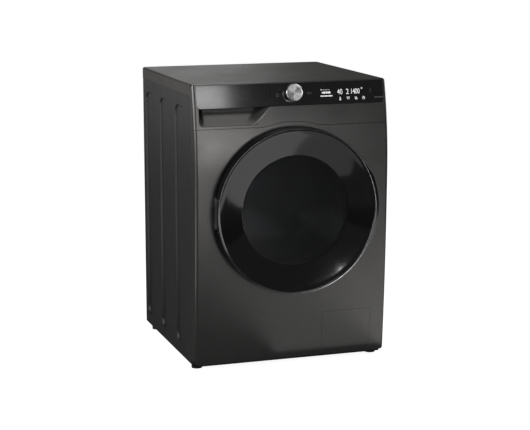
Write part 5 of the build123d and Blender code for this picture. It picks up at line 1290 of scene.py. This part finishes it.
# %% [markdown]
# The grey marks are the sign for on and off, the one for start and pause, and the small touch fields at
# the right end of the strip. The words beside them are plain bars.

# %% Grey marks
grey_marks = start_print("console_marks_grey")
ring(-43, 812, 4.6, 1.0, gap=(62, 118))
bar(-43, 815.4, 1.1, 5.2)
bar(-44.5, 790, 1.4, 3.0)
disc(53.2, 815, 4.0, corners=3, turn=math.pi / 2)
for x in (58.4, 61.2):
    bar(x, 815, 1.3, 6.4)
for x in (247.4, 250.6):
    for row in range(4):
        bar(x, 811.5 + 3.6 * row, 1.7, 1.7)
bars(260.6, 796.5, height=3.4, gap=1.1, widths=(3.2, 5.0, 2.4, 4.2, 3.0, 4.4))
lay_print(grey_marks, grey_ink)

# %% [markdown]
# The white marks are what is lit while a wash runs: its name as rows of bars, then the temperature, the
# rinses and the spin speed as numbers, a small ring beside them, and a row of signs below.

# %% White marks
DIGIT_TALL = 15.0
DIGIT_Z = 816.0
white_marks = start_print("console_marks_white")
ring(94, 823, 1.7, 0.9)
bar(109, 822.4, 23, 0.7)
bars(96.0, 814.6, height=5.4, gap=1.6, widths=(2.2, 6.4, 5.6, 7.2))
bars(91.0, 804.8, height=3.3, gap=1.2, widths=(6.2, 4.0, 7.4, 2.0, 8.0, 3.6))
ring(221.5, 824, 2.5, 1.2)
bar(152, 797.5, 2.0, 7.0)
ring(152, 793.5, 2.6, 1.4)
ring(177, 797.5, 4.2, 1.2, gap=(30, 150))
bar(177, 799.3, 9.2, 1.3)
ring(202.5, 796, 4.4, 1.1, gap=(10, 60))
ring(202.5, 796, 2.2, 1.2)
ring(226, 796, 4.3, 1.1)
bar(226, 797.6, 1.0, 3.4)
bar(227.3, 796, 2.8, 1.0)
bpy.ops.object.mode_set(mode="OBJECT")
numbers = (("40", 144.0, 160.0), ("2", 171.5, 180.0), ("1400", 188.0, 214.5))
words = [digits(text, left, right, DIGIT_Z, DIGIT_TALL) for text, left, right in numbers]
only(white_marks)
for word in words:
    word.select_set(True)
bpy.ops.object.join()
lay_print(white_marks, white_ink)

# %% [markdown]
# ## Feet
# Each foot is a black moulded disc on a stem. It could be turned anew, as the dial was, but that would
# change nothing that is seen. So it gets a smooth copy of its solid, as the casing's sheets did.

# %% Feet
for end in ("front_left", "front_right", "rear_left", "rear_right"):
    skin("foot_" + end, "foot_pad_" + end, black_plastic)

# %% [markdown]
# ## Sizes
# The finished machine must not be larger than its solids. Its box is printed here, as the solids' box
# was at the start.

# %% Sizes
low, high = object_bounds()
print("visual box", [round(v * 1000, 1) for v in high - low])
